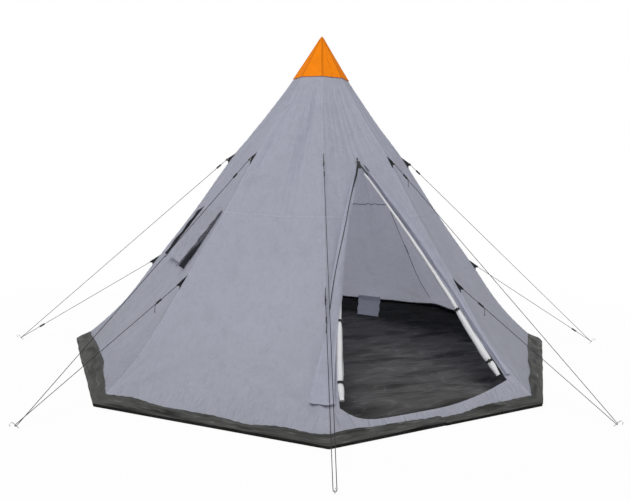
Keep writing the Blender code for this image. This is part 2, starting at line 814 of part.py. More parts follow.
def main():
    clear_scene()
    root = add_empty("tent")
    sectors = []
    ridges = []
    for index in range(SIDES):
        turn = DOOR_DIRECTION + index * 2 * HALF_SECTOR
        sectors.append(add_empty(f"sector_{index + 1}", turn, root))
        ridges.append(add_empty(f"ridge_{index + 1}", turn + HALF_SECTOR, root))
    build_groundsheet(root)
    build_panels(sectors)
    build_cap(root)
    build_pole(root)
    build_guy_lines(ridges)
    build_door(sectors[DOOR_PANEL])
    build_vent(sectors[VENT_PANEL])
    build_rear_flap(sectors[REAR_FLAP_PANEL])


main()
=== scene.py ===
"""Looks of an eight-sided teepee tent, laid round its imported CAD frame.

Metres, +Z up. The origin is on the ground under the peak, and the doorway faces -Y.
A panel's own frame has +X out of the wall and +Y along it; a ridge's own frame has +X out along the ridge.
"""

import math

import bmesh
import bpy
import numpy as np
from bpy.props import FloatProperty, FloatVectorProperty, PointerProperty
from mathutils import Matrix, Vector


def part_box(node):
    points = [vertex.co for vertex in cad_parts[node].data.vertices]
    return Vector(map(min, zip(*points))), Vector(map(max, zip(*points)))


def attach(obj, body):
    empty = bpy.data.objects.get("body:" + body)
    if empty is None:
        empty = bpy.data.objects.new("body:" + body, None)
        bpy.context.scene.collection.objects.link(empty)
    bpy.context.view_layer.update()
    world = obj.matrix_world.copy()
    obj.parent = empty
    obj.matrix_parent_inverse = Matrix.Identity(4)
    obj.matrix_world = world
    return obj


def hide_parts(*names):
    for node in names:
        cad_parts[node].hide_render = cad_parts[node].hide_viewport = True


bl_info = {
    "name": "Teepee tent",
    "version": (1, 0, 0),
    "blender": (4, 5, 0),
    "location": "3D View > Sidebar > Tent",
    "description": "Cloth, cords and fittings of a teepee tent, built round its CAD frame",
    "category": "Add Mesh",
}

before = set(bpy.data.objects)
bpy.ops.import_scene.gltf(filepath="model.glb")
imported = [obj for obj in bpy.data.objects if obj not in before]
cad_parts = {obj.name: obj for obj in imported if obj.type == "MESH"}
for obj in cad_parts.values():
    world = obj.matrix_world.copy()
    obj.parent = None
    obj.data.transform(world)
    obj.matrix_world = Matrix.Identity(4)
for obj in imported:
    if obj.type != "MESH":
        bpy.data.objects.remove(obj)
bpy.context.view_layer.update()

# Sizes of the CAD model that the cloth and the cords follow
SIDES = 8
SECTOR = 2 * math.pi / SIDES
HALF_SECTOR = SECTOR / 2
DOOR_DIRECTION = -math.pi / 2
HEIGHT = 2.5
CORNER_RADIUS = 3.65 / 2 / math.cos(HALF_SECTOR)
HEM_FLARE = 0.1625
FLARE_HEIGHT = 0.2
WALL_RUN = (CORNER_RADIUS - HEM_FLARE) / HEIGHT
SLANT = math.hypot(1.0, WALL_RUN * math.cos(HALF_SECTOR))
FABRIC = 0.004
SEAM_GAP = 0.0004
SOFT_GAP = 0.0006
CAP_EDGE = 2.165
GUSSET_TOPS = (1.575, 0.735)
GUSSET_LENGTH = 0.1
GUSSET_REACH = 0.036
GUSSET_CORNER_DROP = 0.066
GUSSET_TAB = 0.012
GUSSET_THICKNESS = 0.003
GUSSET_SINK = 0.0035
ROPE_DIAMETER = 0.004
LOOP_RADIUS = 0.009
LOOP_HEIGHT = 0.022
PEG_RADIUS = CORNER_RADIUS + 0.45
PEG_WIRE = 0.005
PEG_SHAFT = 0.05
PEG_HOOK_RADIUS = 0.01
PEG_HOOK_TURN = math.radians(205)
PEG_FIT = 0.0003
RUNNER_AT = {
    "upper": (0.13, 0.085, 0.12, 0.12, 0.12, 0.075, 0.165, 0.12),
    "lower": (0.165, 1.04, 0.165, 0.165, 0.165, 1.04, 0.165, 0.165),
}
DOOR_TOP = 1.51
DOOR_HALF_WIDTH = 0.61
DOOR_CORNER = 0.14
DOOR_SILL = 0.07
DOOR_BOW = 0.048
NET_SPAN = (0.05, 0.96)
NET_RADII = (0.008, 0.026)
NET_TUCK = math.radians(30)
TIE_AT = {"upper": 0.70, "lower": 0.92}
TIE_THICKNESS = 0.002
TIE_WIDTH = 0.015
FLAP_SPAN = (0.05, 0.985)
VENT_PANEL = 6
VENT_OFFSET = 0.09
VENT_HINGE = 1.15
VENT_HALF_TOP = 0.21
VENT_HALF_FOOT = 0.19
VENT_TOP = 1.12
VENT_FOOT = 0.82
VENT_PROP = math.radians(5)
VENT_FLAP_HALVES = (0.25, 0.225)
VENT_FLAP_LENGTH = 0.47
REAR_FLAP_PANEL = 3

# Sizes of the looks that more than one piece follows
SEAM_WIDTH = 0.0085
LAP_WIDTH = 0.0055
SEAM_SLOPE = 0.002
DOOR_HEM = 0.009
WELD = 1e-5
WHITE = (1.0, 1.0, 1.0, 1.0)
ALONG_WALL = np.array([0.0, 1.0, 0.0])
UP = np.array([0.0, 0.0, 1.0])


def smooth_step(low, high, value):
    """0 below low, 1 above high, and the cubic 3t^2 - 2t^3 between them."""
    share = np.clip((value - low) / (high - low), 0.0, 1.0)
    return share * share * (3 - 2 * share)


def fade(low, high, value):
    """1 below low and 0 above high, by the same cubic."""
    return 1 - smooth_step(low, high, value)


def bump(centre, width, value):
    """Bell of height 1 about a centre."""
    return np.exp(-(((value - centre) / width) ** 2))


def half_wave(share):
    """Half a sine wave over the shares from 0 to 1."""
    return np.sin(math.pi * np.clip(share, 0, 1))


def column(low, high, count):
    """Even steps between two values, one to a row."""
    return np.linspace(low, high, count)[:, None]


def unit(vectors):
    return vectors / np.linalg.norm(vectors, axis=-1, keepdims=True)


def level_beside(along):
    """Level direction square to another."""
    return unit(np.cross(along, UP))


def turned(points, angle):
    """Points turned about the pole."""
    x, y, z = np.moveaxis(np.asarray(points, float), -1, 0)
    cos, sin = math.cos(angle), math.sin(angle)
    return np.stack([x * cos - y * sin, x * sin + y * cos, z], axis=-1)


def stacked(*parts):
    """Several arrays, spread to one shape, as the coordinates of points."""
    return np.stack(np.broadcast_arrays(*[np.asarray(part, float) for part in parts]), axis=-1)


def travelled(path):
    """Way along a path at each of its points."""
    return np.concatenate([[0], np.cumsum(np.linalg.norm(np.diff(path, axis=0), axis=1))])


def drawn_waves(seed, first, second, lengths, count):
    """The way along waves in drawn directions, with their drawn lengths and phases."""
    draw = np.random.default_rng(seed)
    length = draw.uniform(*lengths, count)
    heading = draw.uniform(0, math.pi, count)
    phase = draw.uniform(0, 2 * math.pi, count)
    first, second = (np.asarray(value, float)[..., None] for value in (first, second))
    return first * np.cos(heading) + second * np.sin(heading), length, phase


def ripple(seed, first, second, lengths, count):
    """Crumple of mean 0 and size about 1: a sum of sine waves of set lengths in drawn directions."""
    along, length, phase = drawn_waves(seed, first, second, lengths, count)
    return np.sin(2 * math.pi * along / length + phase).sum(-1) / math.sqrt(count)


def creases(seed, first, second, lengths, count):
    """Sharp crinkles from 0 to about 1: the mean of folded sine waves, 1 - |sin|, squared."""
    along, length, phase = drawn_waves(seed, first, second, lengths, count)
    sway = 0.5 * np.sin(first * 7.0 + second * 5.0)
    return ((1 - np.abs(np.sin(math.pi * along / length + phase + sway[..., None]))) ** 2).mean(-1)


def ridge_radius(height):
    """Distance of a ridge from the pole: a straight cone that flares out towards the hem."""
    return WALL_RUN * (HEIGHT - height) + HEM_FLARE * np.exp(-height / FLARE_HEIGHT)


def apothem(height):
    """Distance of the middle of a panel from the pole."""
    return ridge_radius(height) * math.cos(HALF_SECTOR)


def half_panel(height):
    return apothem(height) * math.tan(HALF_SECTOR)


def wall_normal(height):
    """The outward and the upward part of a panel's normal."""
    flare = HEM_FLARE / FLARE_HEIGHT * np.exp(-height / FLARE_HEIGHT)
    run = math.cos(HALF_SECTOR) * (WALL_RUN + flare)
    length = np.hypot(1.0, run)
    return 1 / length, run / length


def panel_turn(panel):
    return DOOR_DIRECTION + panel * SECTOR


def ridge_turn(ridge):
    return panel_turn(ridge) + HALF_SECTOR


def round_sides(steps):
    """Ways round the tent from the middle of the door panel, the angle of each from the middle of its
    panel, and how far a flat side lies in from the circle through its corners."""
    turn = np.linspace(0, 2 * math.pi, SIDES * steps + 1)
    facet = (turn + HALF_SECTOR) % SECTOR - HALF_SECTOR
    return turn, facet, math.cos(HALF_SECTOR) / np.cos(facet)


def on_wall(panel, across, height, raised=0.0):
    """A panel's flat face at a place across it and a height, moved off it along a normal that turns
    with the direction from the pole, so that neighbouring panels stay joined at their ridge."""
    across, height, raised = np.broadcast_arrays(*[np.asarray(v, float) for v in (across, height, raised)])
    distance = apothem(height)
    out, up = wall_normal(height)
    reach = np.hypot(distance, across)
    normal = stacked(out * distance / reach, out * across / reach, up)
    return turned(stacked(distance, across, height) + normal * raised[..., None], panel_turn(panel))


def grid_faces(rows, columns, first=0):
    """Corners of the faces between points that are counted row by row."""
    index = first + np.arange(rows * columns).reshape(rows, columns)
    corners = (index[:-1, :-1], index[:-1, 1:], index[1:, 1:], index[1:, :-1])
    return np.stack(corners, axis=-1).reshape(-1, 4)


def placed(name, data):
    """A new object in the scene."""
    made = bpy.data.objects.new(name, data)
    bpy.context.scene.collection.objects.link(made)
    return made


def sewn_mesh(name, patches, closed, sharp):
    """Mesh of open grids, welded where their edges meet. A patch is an array of rows of points and its
    UV maps: the first in metres of cloth, the second with the distance from a seam and the way along it."""
    faces = []
    first = 0
    for points, *_ in patches:
        faces.append(grid_faces(*points.shape[:2], first))
        first += points.shape[0] * points.shape[1]
    faces = np.concatenate(faces)
    mesh = bpy.data.meshes.new(name)
    mesh.from_pydata(np.concatenate([patch[0].reshape(-1, 3) for patch in patches]), [], faces)
    for number, label in enumerate(("UVMap", "seam")[: len(patches[0]) - 1], 1):
        places = np.concatenate([patch[number].reshape(-1, 2) for patch in patches])
        mesh.uv_layers.new(name=label).data.foreach_set("uv", places[faces].ravel())
    shape = bmesh.new()
    shape.from_mesh(mesh)
    bmesh.ops.remove_doubles(shape, verts=shape.verts, dist=WELD)
    bmesh.ops.dissolve_degenerate(shape, edges=shape.edges, dist=WELD / 10)
    if closed:
        bmesh.ops.recalc_face_normals(shape, faces=shape.faces)
    shape.to_mesh(mesh)
    shape.free()
    mesh.shade_smooth()
    mesh.set_sharp_from_angle(angle=math.radians(sharp))
    return mesh


def new_piece(name, kind, patches, body, slot, *nodes, closed=False, sharp=50, thickness=0.0, offset=-1.0):
    """A piece of some kind of surface, with the finish of that kind. It rides on its body and stands for CAD
    nodes; its slot is not used. An offset of -1 puts a sheet's thickness behind its face."""
    mesh = sewn_mesh(name, patches, closed, sharp)
    mesh.materials.append(finish(kind))
    piece = placed(name, mesh)
    if thickness:
        wall = piece.modifiers.new("thickness", "SOLIDIFY")
        wall.thickness = thickness
        wall.offset = offset
        wall.use_even_offset = True
    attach(piece, body)
    if nodes:
        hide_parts(*nodes)
    return piece


def metres(rows, columns, width, length):
    """UV grid of a patch: rows and columns counted out over a width and a length."""
    return stacked(np.linspace(0, width, columns), column(0, length, rows))


def tube(path, radius, reference, sides=12, loop=False):
    """Round profile carried along a path: each ring is the path's point plus the radius times the cosine
    and sine of the way round, along two directions square to the path. Its ends close to a point."""
    path = np.asarray(path, float)
    if loop:
        tangent = unit(np.roll(path, -1, 0) - np.roll(path, 1, 0))
        path, tangent = np.concatenate([path, path[:1]]), np.concatenate([tangent, tangent[:1]])
    else:
        tangent = unit(np.gradient(path, axis=0))
    side = unit(np.cross(tangent, reference))
    other = np.cross(tangent, side)
    radius = np.broadcast_to(radius, len(path)).astype(float)
    turn = np.linspace(0, 2 * math.pi, sides + 1)
    ring = np.cos(turn)[None, :, None] * side[:, None] + np.sin(turn)[None, :, None] * other[:, None]
    points = path[:, None] + ring * radius[:, None, None]
    along = travelled(path)
    if not loop:
        tips = [np.repeat(path[end, None, None], sides + 1, 1) for end in (0, -1)]
        points = np.concatenate([tips[0], points, tips[1]])
        along = np.concatenate([along[:1], along, along[-1:]])
    return points, stacked(turn * radius.mean(), along[:, None])


def spun(profile, steps=40):
    """Profile of (radius, height) points carried round the pole."""
    profile = np.asarray(profile, float)
    turn = np.linspace(0, 2 * math.pi, steps + 1)
    radius, height = profile[:, :1], profile[:, 1:]
    points = stacked(radius * np.cos(turn), radius * np.sin(turn), height)
    return points, stacked(turn * radius.max(), travelled(profile)[:, None])


# Materials


class Nodes:
    """A node tree, with short ways to add to it. An input given as a socket is linked, and any other is its
    value."""

    def __init__(self, tree):
        self.tree = tree

    def give(self, socket, value):
        if isinstance(value, bpy.types.NodeSocket):
            self.tree.links.new(value, socket)
        else:
            socket.default_value = value

    def add(self, kind, inputs=None, **settings):
        """Outputs of one new node."""
        made = self.tree.nodes.new("ShaderNode" + kind)
        for key, value in settings.items():
            setattr(made, key, value)
        for key, value in (inputs or {}).items():
            self.give(made.inputs[key], value)
        return made.outputs

    def sums(self, operation, *values):
        return self.add("Math", dict(enumerate(values)), operation=operation)[0]

    def spread(self, value, low, high, first=0.0, last=1.0):
        """A value's range from low to high, carried to the range from first to last and held there."""
        inputs = {"Value": value, "From Min": low, "From Max": high, "To Min": first, "To Max": last}
        return self.add("MapRange", inputs)[0]

    def scaled(self, colour, level):
        return self.add("VectorMath", {0: colour, "Scale": level}, operation="SCALE")[0]

    def shaded(self, colour, mask, shade):
        """A colour, times a shade where a mask is 1."""
        return self.scaled(colour, self.sums("MULTIPLY_ADD", mask, shade - 1.0, 1.0))

    def parts(self, vector):
        return self.add("SeparateXYZ", {"Vector": vector})

    def mapped(self, vector, scale, turn=0.0):
        inputs = {"Vector": vector, "Rotation": (0.0, 0.0, turn), "Scale": scale}
        return self.add("Mapping", inputs)[0]

    def noise(self, vector, scale, detail, **more):
        return self.add("TexNoise", {"Vector": vector, "Scale": scale, "Detail": detail, **more})[0]

    def group(self, name, *values):
        """Outputs of a shared node group, which is made on first use."""
        tree = bpy.data.node_groups.get(name) or GROUPS[name]()
        return self.add("Group", dict(enumerate(values)), node_tree=tree)

    def weave(self, vector, thread):
        return self.group("plain_weave", vector, thread)["Height"]

    def crumple(self, vector, scale, detail):
        return self.group("crumple", vector, scale, detail)["Height"]

    def drift(self, vector, colour, scale, amount):
        return self.group("shade_drift", vector, colour, scale, amount)

    def mixed(self, share, *shaders):
        """Show two shaders at once."""
        mix = self.add("MixShader", {0: share, 1: shaders[0], 2: shaders[1]})[0]
        self.give(self.tree.nodes["Material Output"].inputs["Surface"], mix)


class Finish(Nodes):
    """A new material and its main shader."""

    def __init__(self, name, roughness, specular=0.5, sheen=0.0, metallic=0.0):
        self.made = bpy.data.materials.new(name)
        self.made.use_nodes = True
        super().__init__(self.made.node_tree)
        self.shader = self.tree.nodes["Principled BSDF"]
        self.roughness = roughness
        self.fill({"Roughness": roughness, "Metallic": metallic})
        self.fill({"Specular IOR Level": specular, "Sheen Weight": sheen})

    def fill(self, inputs):
        for key, value in inputs.items():
            self.give(self.shader.inputs[key], value)

    def on_object(self):
        return self.add("TexCoord")["Object"]

    def on_cloth(self, name="UVMap"):
        return self.add("UVMap", uv_map=name)[0]

    def close(self, colour, noise, smoother, rougher, *layers):
        """Give the shader its colour, a roughness that varies with a noise, and a bump of several heights,
        each with its depth in metres."""
        total = 0.0
        for height, depth in layers:
            total = self.sums("MULTIPLY_ADD", height, depth, total)
        self.normal = self.add("Bump", {"Strength": 1.0, "Distance": 1.0, "Height": total})[0]
        gloss = self.spread(noise, 0.3, 0.7, self.roughness - smoother, self.roughness + rougher)
        self.fill({"Base Color": colour, "Roughness": gloss, "Normal": self.normal})
        return self.made


SOCKETS = {"Vector": "NodeSocketVector", "Colour": "NodeSocketColor"}


def open_group(name, inputs, outputs):
    """A new node group, with the sockets that its inputs give out and that its outputs take in."""
    tree = bpy.data.node_groups.new(name, "ShaderNodeTree")
    for way, labels in (("INPUT", inputs), ("OUTPUT", outputs)):
        for label in labels.split():
            tree.interface.new_socket(label, in_out=way, socket_type=SOCKETS.get(label, "NodeSocketFloat"))
    return Nodes(tree), tree.nodes.new("NodeGroupInput").outputs, tree.nodes.new("NodeGroupOutput").inputs


def weave_group():
    """Plain weave: threads that rise and dip as the sine across the cloth times the sine along it."""
    nodes, given, out = open_group("plain_weave", "Vector Thread", "Height")
    parts = nodes.parts(given["Vector"])
    rate = nodes.sums("DIVIDE", math.pi, given["Thread"])
    waves = [nodes.sums("SINE", nodes.sums("MULTIPLY", parts[axis], rate)) for axis in ("X", "Y")]
    nodes.give(out["Height"], nodes.sums("MULTIPLY", *waves))
    return nodes.tree


def crumple_group():
    """Soft creases: how near a noise is to its middle value, so that ridges run along its level lines."""
    nodes, given, out = open_group("crumple", "Vector Scale Detail", "Height")
    noise = nodes.noise(given["Vector"], given["Scale"], given["Detail"], Distortion=0.4)
    away = nodes.sums("ABSOLUTE", nodes.sums("SUBTRACT", noise, 0.5))
    nodes.give(out["Height"], nodes.sums("SUBTRACT", 1.0, nodes.sums("MULTIPLY", away, 4.0)))
    return nodes.tree


def drift_group():
    """Slow change of shade: a colour times 1 plus or minus an amount, by a broad noise."""
    nodes, given, out = open_group("shade_drift", "Vector Colour Scale Amount", "Colour Noise")
    noise = nodes.noise(given["Vector"], given["Scale"], 4.0, Roughness=0.6)
    swing = nodes.sums("MULTIPLY", nodes.sums("SUBTRACT", noise, 0.5), given["Amount"])
    level = nodes.sums("MULTIPLY_ADD", swing, 2.0, 1.0)
    nodes.give(out["Colour"], nodes.scaled(given["Colour"], level))
    nodes.give(out["Noise"], noise)
    return nodes.tree


def stitch_group():
    """Row of stitches: 1 on a thread, where the distance from the seam is near an offset and the way
    along it is in the first part of each pitch."""
    half_thread, stitch_share = 0.0007, 0.62
    nodes, given, out = open_group("stitches", "Across Along Offset Pitch", "Mask")
    away = nodes.sums("ABSOLUTE", nodes.sums("SUBTRACT", given["Across"], given["Offset"]))
    row = nodes.sums("LESS_THAN", away, half_thread)
    step = nodes.sums("FRACT", nodes.sums("DIVIDE", given["Along"], given["Pitch"]))
    nodes.give(out["Mask"], nodes.sums("MULTIPLY", row, nodes.sums("LESS_THAN", step, stitch_share)))
    return nodes.tree


GROUPS = {
    "plain_weave": weave_group,
    "crumple": crumple_group,
    "shade_drift": drift_group,
    "stitches": stitch_group,
}


def colour_of(name):
    return (*getattr(bpy.context.scene.tent_colours, name), 1.0)


CLOTH_THREAD = 0.0011
CLOTH_CREASES = ((7.0, 3.0, 0.004), (27.0, 2.0, 0.0012))
# Painted light on the cloth's creases: the colour's range from painted shade low in a crease to painted
# highlight on its crest
CREASE_PAINTED_LIGHT = (0.95, 1.015)
STITCH_PITCH = 0.0045
STITCH_SHADE = 0.86
STITCH_DEPTH = -0.0003
SEAM_STITCHES = (0.0025, 0.0072)
LAP_STITCHES = (-0.004, 0.004)
GATHERED = (0.42, 0.06)


def tent_cloth(name, colour, lets_light, seams, specular=0.25, sheen=0.1, seam_painted_light=1.12):
    """Coated polyester: a plain weave, soft creases with painted highlight on their crests and painted shade
    below them, slow changes of shade, and a share of light that comes through. Seams have edges of painted
    highlight (painted shade on the cap), two rows of stitches beside each ridge and along the lap seam, and
    the cloth gathers above its hem."""
    cloth = Finish(name, 0.82, specular, sheen)
    place = cloth.on_object()
    woven = cloth.on_cloth()
    tint, noise = cloth.drift(place, colour_of(colour), 1.7, 0.08)
    tint = cloth.drift(woven, tint, 160.0, 0.05)["Colour"]
    layers = [(cloth.weave(woven, CLOTH_THREAD), 0.00006)]
    for scale, detail, depth in CLOTH_CREASES:
        crease = cloth.crumple(place, scale, detail)
        # Painted highlight on each crease's crest and painted shade below it
        tint = cloth.scaled(tint, cloth.spread(crease, 0.1, 1.0, *CREASE_PAINTED_LIGHT))
        layers.append((crease, depth))
    if seams:
        beside = cloth.parts(cloth.on_cloth("seam"))
        level = cloth.parts(woven)
        lap = cloth.sums("SUBTRACT", level["Y"], VENT_HINGE * SLANT)
        rows = [(beside["X"], beside["Y"], offset) for offset in SEAM_STITCHES]
        rows += [(lap, level["X"], offset) for offset in LAP_STITCHES]
        for across, along, offset in rows:
            mask = cloth.group("stitches", across, along, offset, STITCH_PITCH)["Mask"]
            tint = cloth.shaded(tint, mask, STITCH_SHADE)
            layers.append((mask, STITCH_DEPTH))
        # Painted light along each ridge seam's edge and the lap seam: painted highlight on the canopy (1.12),
        # painted shade on the cap (0.8)
        for away, width in ((beside["X"], SEAM_WIDTH), (cloth.sums("ABSOLUTE", lap), LAP_WIDTH)):
            tint = cloth.shaded(tint, cloth.sums("LESS_THAN", away, width), seam_painted_light)
        gathers = cloth.crumple(cloth.mapped(woven, (1.0, 0.4, 1.0)), 26.0, 1.5)
        layers.append((cloth.sums("MULTIPLY", gathers, cloth.spread(level["Y"], *GATHERED)), 0.006))
    cloth.close(tint, noise, 0.08, 0.08, *layers)
    if lets_light:
        glow = cloth.add("BsdfTranslucent", {"Color": tint, "Normal": cloth.normal})[0]
        cloth.mixed(bpy.context.scene.tent_sizes.light_through, cloth.shader.outputs[0], glow)
    return cloth.made


def woven_film(film, colour, drawn, painted_levels, depths, lined):
    """Woven polyethylene: flat tapes under a smooth film, crinkled all over. Long creases, drawn out by a
    turn and a scale of the cloth, carry painted highlight on their crests and painted shade between them,
    and painted glints lie as lines along the tight creases when lined, and as flecks otherwise."""
    woven = film.on_cloth()
    turn, scale = drawn
    lengthened = film.mapped(woven, (*scale, 1.0), turn)
    tint, noise = film.drift(film.on_object(), colour_of(colour), 6.0, 0.35)
    wide = film.crumple(lengthened, 1.0, 4.0)
    tight = film.crumple(lengthened, 2.3, 2.0)
    # Levels of painted shade in the hollows, painted highlight on the crests, and the painted glints
    hollow, painted_crest_level, painted_glint_level = painted_levels
    if lined:
        painted_glint = film.spread(tight, 0.88, 1.0, 0.0, painted_glint_level)
    else:
        flecks = film.noise(lengthened, 2.6, 5.0, Roughness=0.62)
        painted_glint = film.spread(flecks, 0.57, 0.71, 0.0, painted_glint_level)
    # Painted highlight and shade on the creases, with the painted glints added
    level = film.sums("ADD", film.spread(wide, 0.25, 0.98, hollow, painted_crest_level), painted_glint)
    layers = ((wide, depths[0]), (tight, depths[1]), (film.weave(woven, 0.0025), 0.00008))
    return film.scaled(tint, level), noise, layers


def floor_finish():
    """Floor film, darkened by painted shade away from the doorway: a mask that grows with the distance from
    it.
    """
    film = Finish("groundsheet_floor_film", 0.6, 0.06)
    across_view = (math.radians(-64), (4.4, 1.2))
    # Painted shade in the hollows, painted highlight on the crests, and painted glint lines
    tint, noise, layers = woven_film(film, "groundsheet", across_view, (0.4, 1.3, 0.5), (0.017, 0.005), True)
    place = film.parts(film.on_object())
    far = film.sums("MULTIPLY_ADD", place["X"], 0.92, film.sums("MULTIPLY", place["Y"], 0.4))
    # Painted shade: 1 away from the doorway, where the floor's colour falls to 0.12 of itself
    rear_painted_shade = film.spread(film.sums("MULTIPLY_ADD", noise, 0.5, far), 1.08, 1.36)
    return film.close(film.shaded(tint, rear_painted_shade, 0.12), noise, 0.08, 0.1, *layers)


def band_finish():
    """Band film, darkened along its foot by painted shade."""
    film = Finish("groundsheet_band_film", 0.34, 0.008)
    along_band = (0.0, (2.6, 20.0))
    # Painted shade in the hollows, painted highlight on the crests, and painted glint flecks
    tint, noise, layers = woven_film(film, "band", along_band, (0.58, 1.55, 1.7), (0.005, 0.001), False)
    # Painted shade along the band's foot, where its colour falls to 0.2 of itself
    foot_painted_shade = film.spread(film.parts(film.on_cloth())["Y"], 0.026, 0.021)
    return film.close(film.shaded(tint, foot_painted_shade, 0.2), noise, 0.08, 0.1, *layers)


def net_finish():
    """White netting, seen through its own layers as a fine grid of threads."""
    net = Finish("net_white_threads", 0.85, 0.2, 0.2)
    place = net.on_object()
    tint, noise = net.drift(place, colour_of("net"), 14.0, 0.06)
    weave = net.weave(net.on_cloth(), 0.0018)
    holes = net.sums("GREATER_THAN", net.sums("ABSOLUTE", weave), 0.62)
    folds = net.crumple(place, 42.0, 2.0)
    return net.close(net.shaded(tint, holes, 0.86), noise, 0.07, 0.07, (weave, 0.0002), (folds, 0.0012))


def vent_netting_finish():
    """Black netting: threads where the weave's sine waves are near zero, and holes between them."""
    net = Finish("vent_black_netting", 0.9, 0.2)
    woven = net.on_cloth()
    tint, noise = net.drift(woven, colour_of("vent_netting"), 30.0, 0.2)
    weave = net.weave(woven, 0.0022)
    net.fill({"Alpha": net.sums("LESS_THAN", net.sums("ABSOLUTE", weave), 0.5)})
    return net.close(tint, noise, 0.05, 0.05, (weave, 0.0001))


def webbing(name, colour, rib, roughness=0.85):
    """Woven tape: ribs along its length and a fine grain."""
    tape = Finish(name, roughness, 0.25, 0.1)
    tint, noise = tape.drift(tape.on_object(), colour_of(colour), 45.0, 0.25)
    weave = tape.weave(tape.on_cloth(), rib)
    raised = tape.sums("GREATER_THAN", weave, 0.35)
    return tape.close(tape.shaded(tint, raised, 1.35), noise, 0.06, 0.06, (weave, rib * 0.12))


def rope_finish():
    """Braided cord: two sets of strands that wind round it in opposite ways."""
    cord = Finish("guy_rope_braid", 0.78, 0.3, 0.1)
    woven = cord.on_cloth()
    tint, noise = cord.drift(woven, colour_of("rope"), 60.0, 0.3)
    braid = cord.weave(cord.mapped(woven, (1.0, 1.0, 1.0), math.radians(38)), 0.0016)
    flecks = cord.sums("GREATER_THAN", braid, 0.55)
    return cord.close(cord.shaded(tint, flecks, 1.8), noise, 0.08, 0.08, (braid, 0.00035))


def plastic(name, colour, roughness, grain=0.00012):
    """Moulded plastic: a fine sparked grain, with a slightly uneven gloss."""
    body = Finish(name, roughness, 0.45)
    place = body.on_object()
    tint, noise = body.drift(place, colour_of(colour), 70.0, 0.12)
    return body.close(tint, noise, 0.08, 0.1, (body.crumple(place, 900.0, 1.0), grain))


def plated_steel(name, colour, roughness, spangle):
    """Plated steel: patches of zinc that differ a little in shade and gloss, with fine drawn scratches."""
    steel = Finish(name, roughness, metallic=1.0)
    place = steel.on_object()
    cells = steel.add("TexVoronoi", {"Vector": place, "Scale": spangle})["Color"]
    tint = steel.scaled(colour_of(colour)[:3], steel.sums("MULTIPLY_ADD", cells, 0.22, 0.86))
    scratches = steel.noise(steel.mapped(place, (1.0, 1.0, 0.04)), 900.0, 3.0)
    return steel.close(tint, scratches, 0.1, 0.14, (scratches, 0.00004))


# How each kind of surface is made
FINISHES = {
    "canopy": (tent_cloth, "canopy_polyester_cloth", "canopy", True, True),
    "flap": (tent_cloth, "door_polyester_cloth", "canopy", True, False),
    "pale": (tent_cloth, "pale_polyester_cloth", "pale", False, False),
    # The cap's last value, 0.8, is the painted shade along its seams
    "cap": (tent_cloth, "cap_polyester_cloth", "cap", False, True, 0.08, 0.0, 0.8),
    "groundsheet": (floor_finish,),
    "band": (band_finish,),
    "net": (net_finish,),
    "vent_netting": (vent_netting_finish,),
    "gusset": (webbing, "gusset_dark_webbing", "gusset", 0.0016),
    "tie": (webbing, "tie_dark_webbing", "tie", 0.0014),
    "zip": (webbing, "zip_dark_tape", "zip", 0.0022, 0.6),
    "binding": (webbing, "ridge_grey_binding", "binding", 0.0012),
    "rope": (rope_finish,),
    "runner": (plastic, "runner_black_plastic", "runner", 0.48),
    "ring": (plastic, "ring_pale_plastic", "ring", 0.4, 0.00005),
    "pole_end": (plastic, "pole_end_black_plastic", "pole_end", 0.55),
    "slider": (plastic, "slider_olive_lacquer", "slider", 0.42, 0.00005),
    "peg": (plated_steel, "peg_zinc_plate", "steel", 0.36, 380.0),
    "pole": (plated_steel, "pole_zinc_plate", "steel", 0.38, 160.0),
}


def finish(kind):
    """The material of a kind of surface, made on first use."""
    key = "finish:" + kind
    for made in bpy.data.materials:
        if made.get(key):
            return made
    make, *values = FINISHES[kind]
    made = make(*values)
    made[key] = True
    return made


def size_property(label, use, default, **kind):
    return FloatProperty(name=label, description=use, default=default, **(kind or {"unit": "LENGTH"}))


def colour_property(label, default):
    use = f"Colour of the {label.lower()}"
    return FloatVectorProperty(name=label, description=use, default=default, subtype="COLOR", min=0, max=1)


class TentSizes(bpy.types.PropertyGroup):
    """Sizes of the cloth and the cords that leave the CAD model as it is."""

    fold_depth: size_property("Fold depth", "Depth of the long folds below the cap", 0.0072)
    wall_sag: size_property("Wall sag", "How far the middle of a panel hangs in", 0.02)
    peak_sag: size_property("Peak sag", "How far the cone hangs in below the peak", 0.0235)
    ridge_sag: size_property("Ridge sag", "How far a ridge hangs in between its guys", 0.009)
    light_through: size_property(
        "Light through", "Share of the cloth's light that goes through it", 0.385, subtype="FACTOR"
    )
    floor_wrinkle: size_property("Floor wrinkle", "Height of the wrinkles in the groundsheet", 0.0105)
    band_crinkle: size_property("Band crinkle", "Depth of the crinkles in the groundsheet's band", 0.006)
    tail: size_property("Cord tail", "Length of cord that hangs from a runner", 0.062)


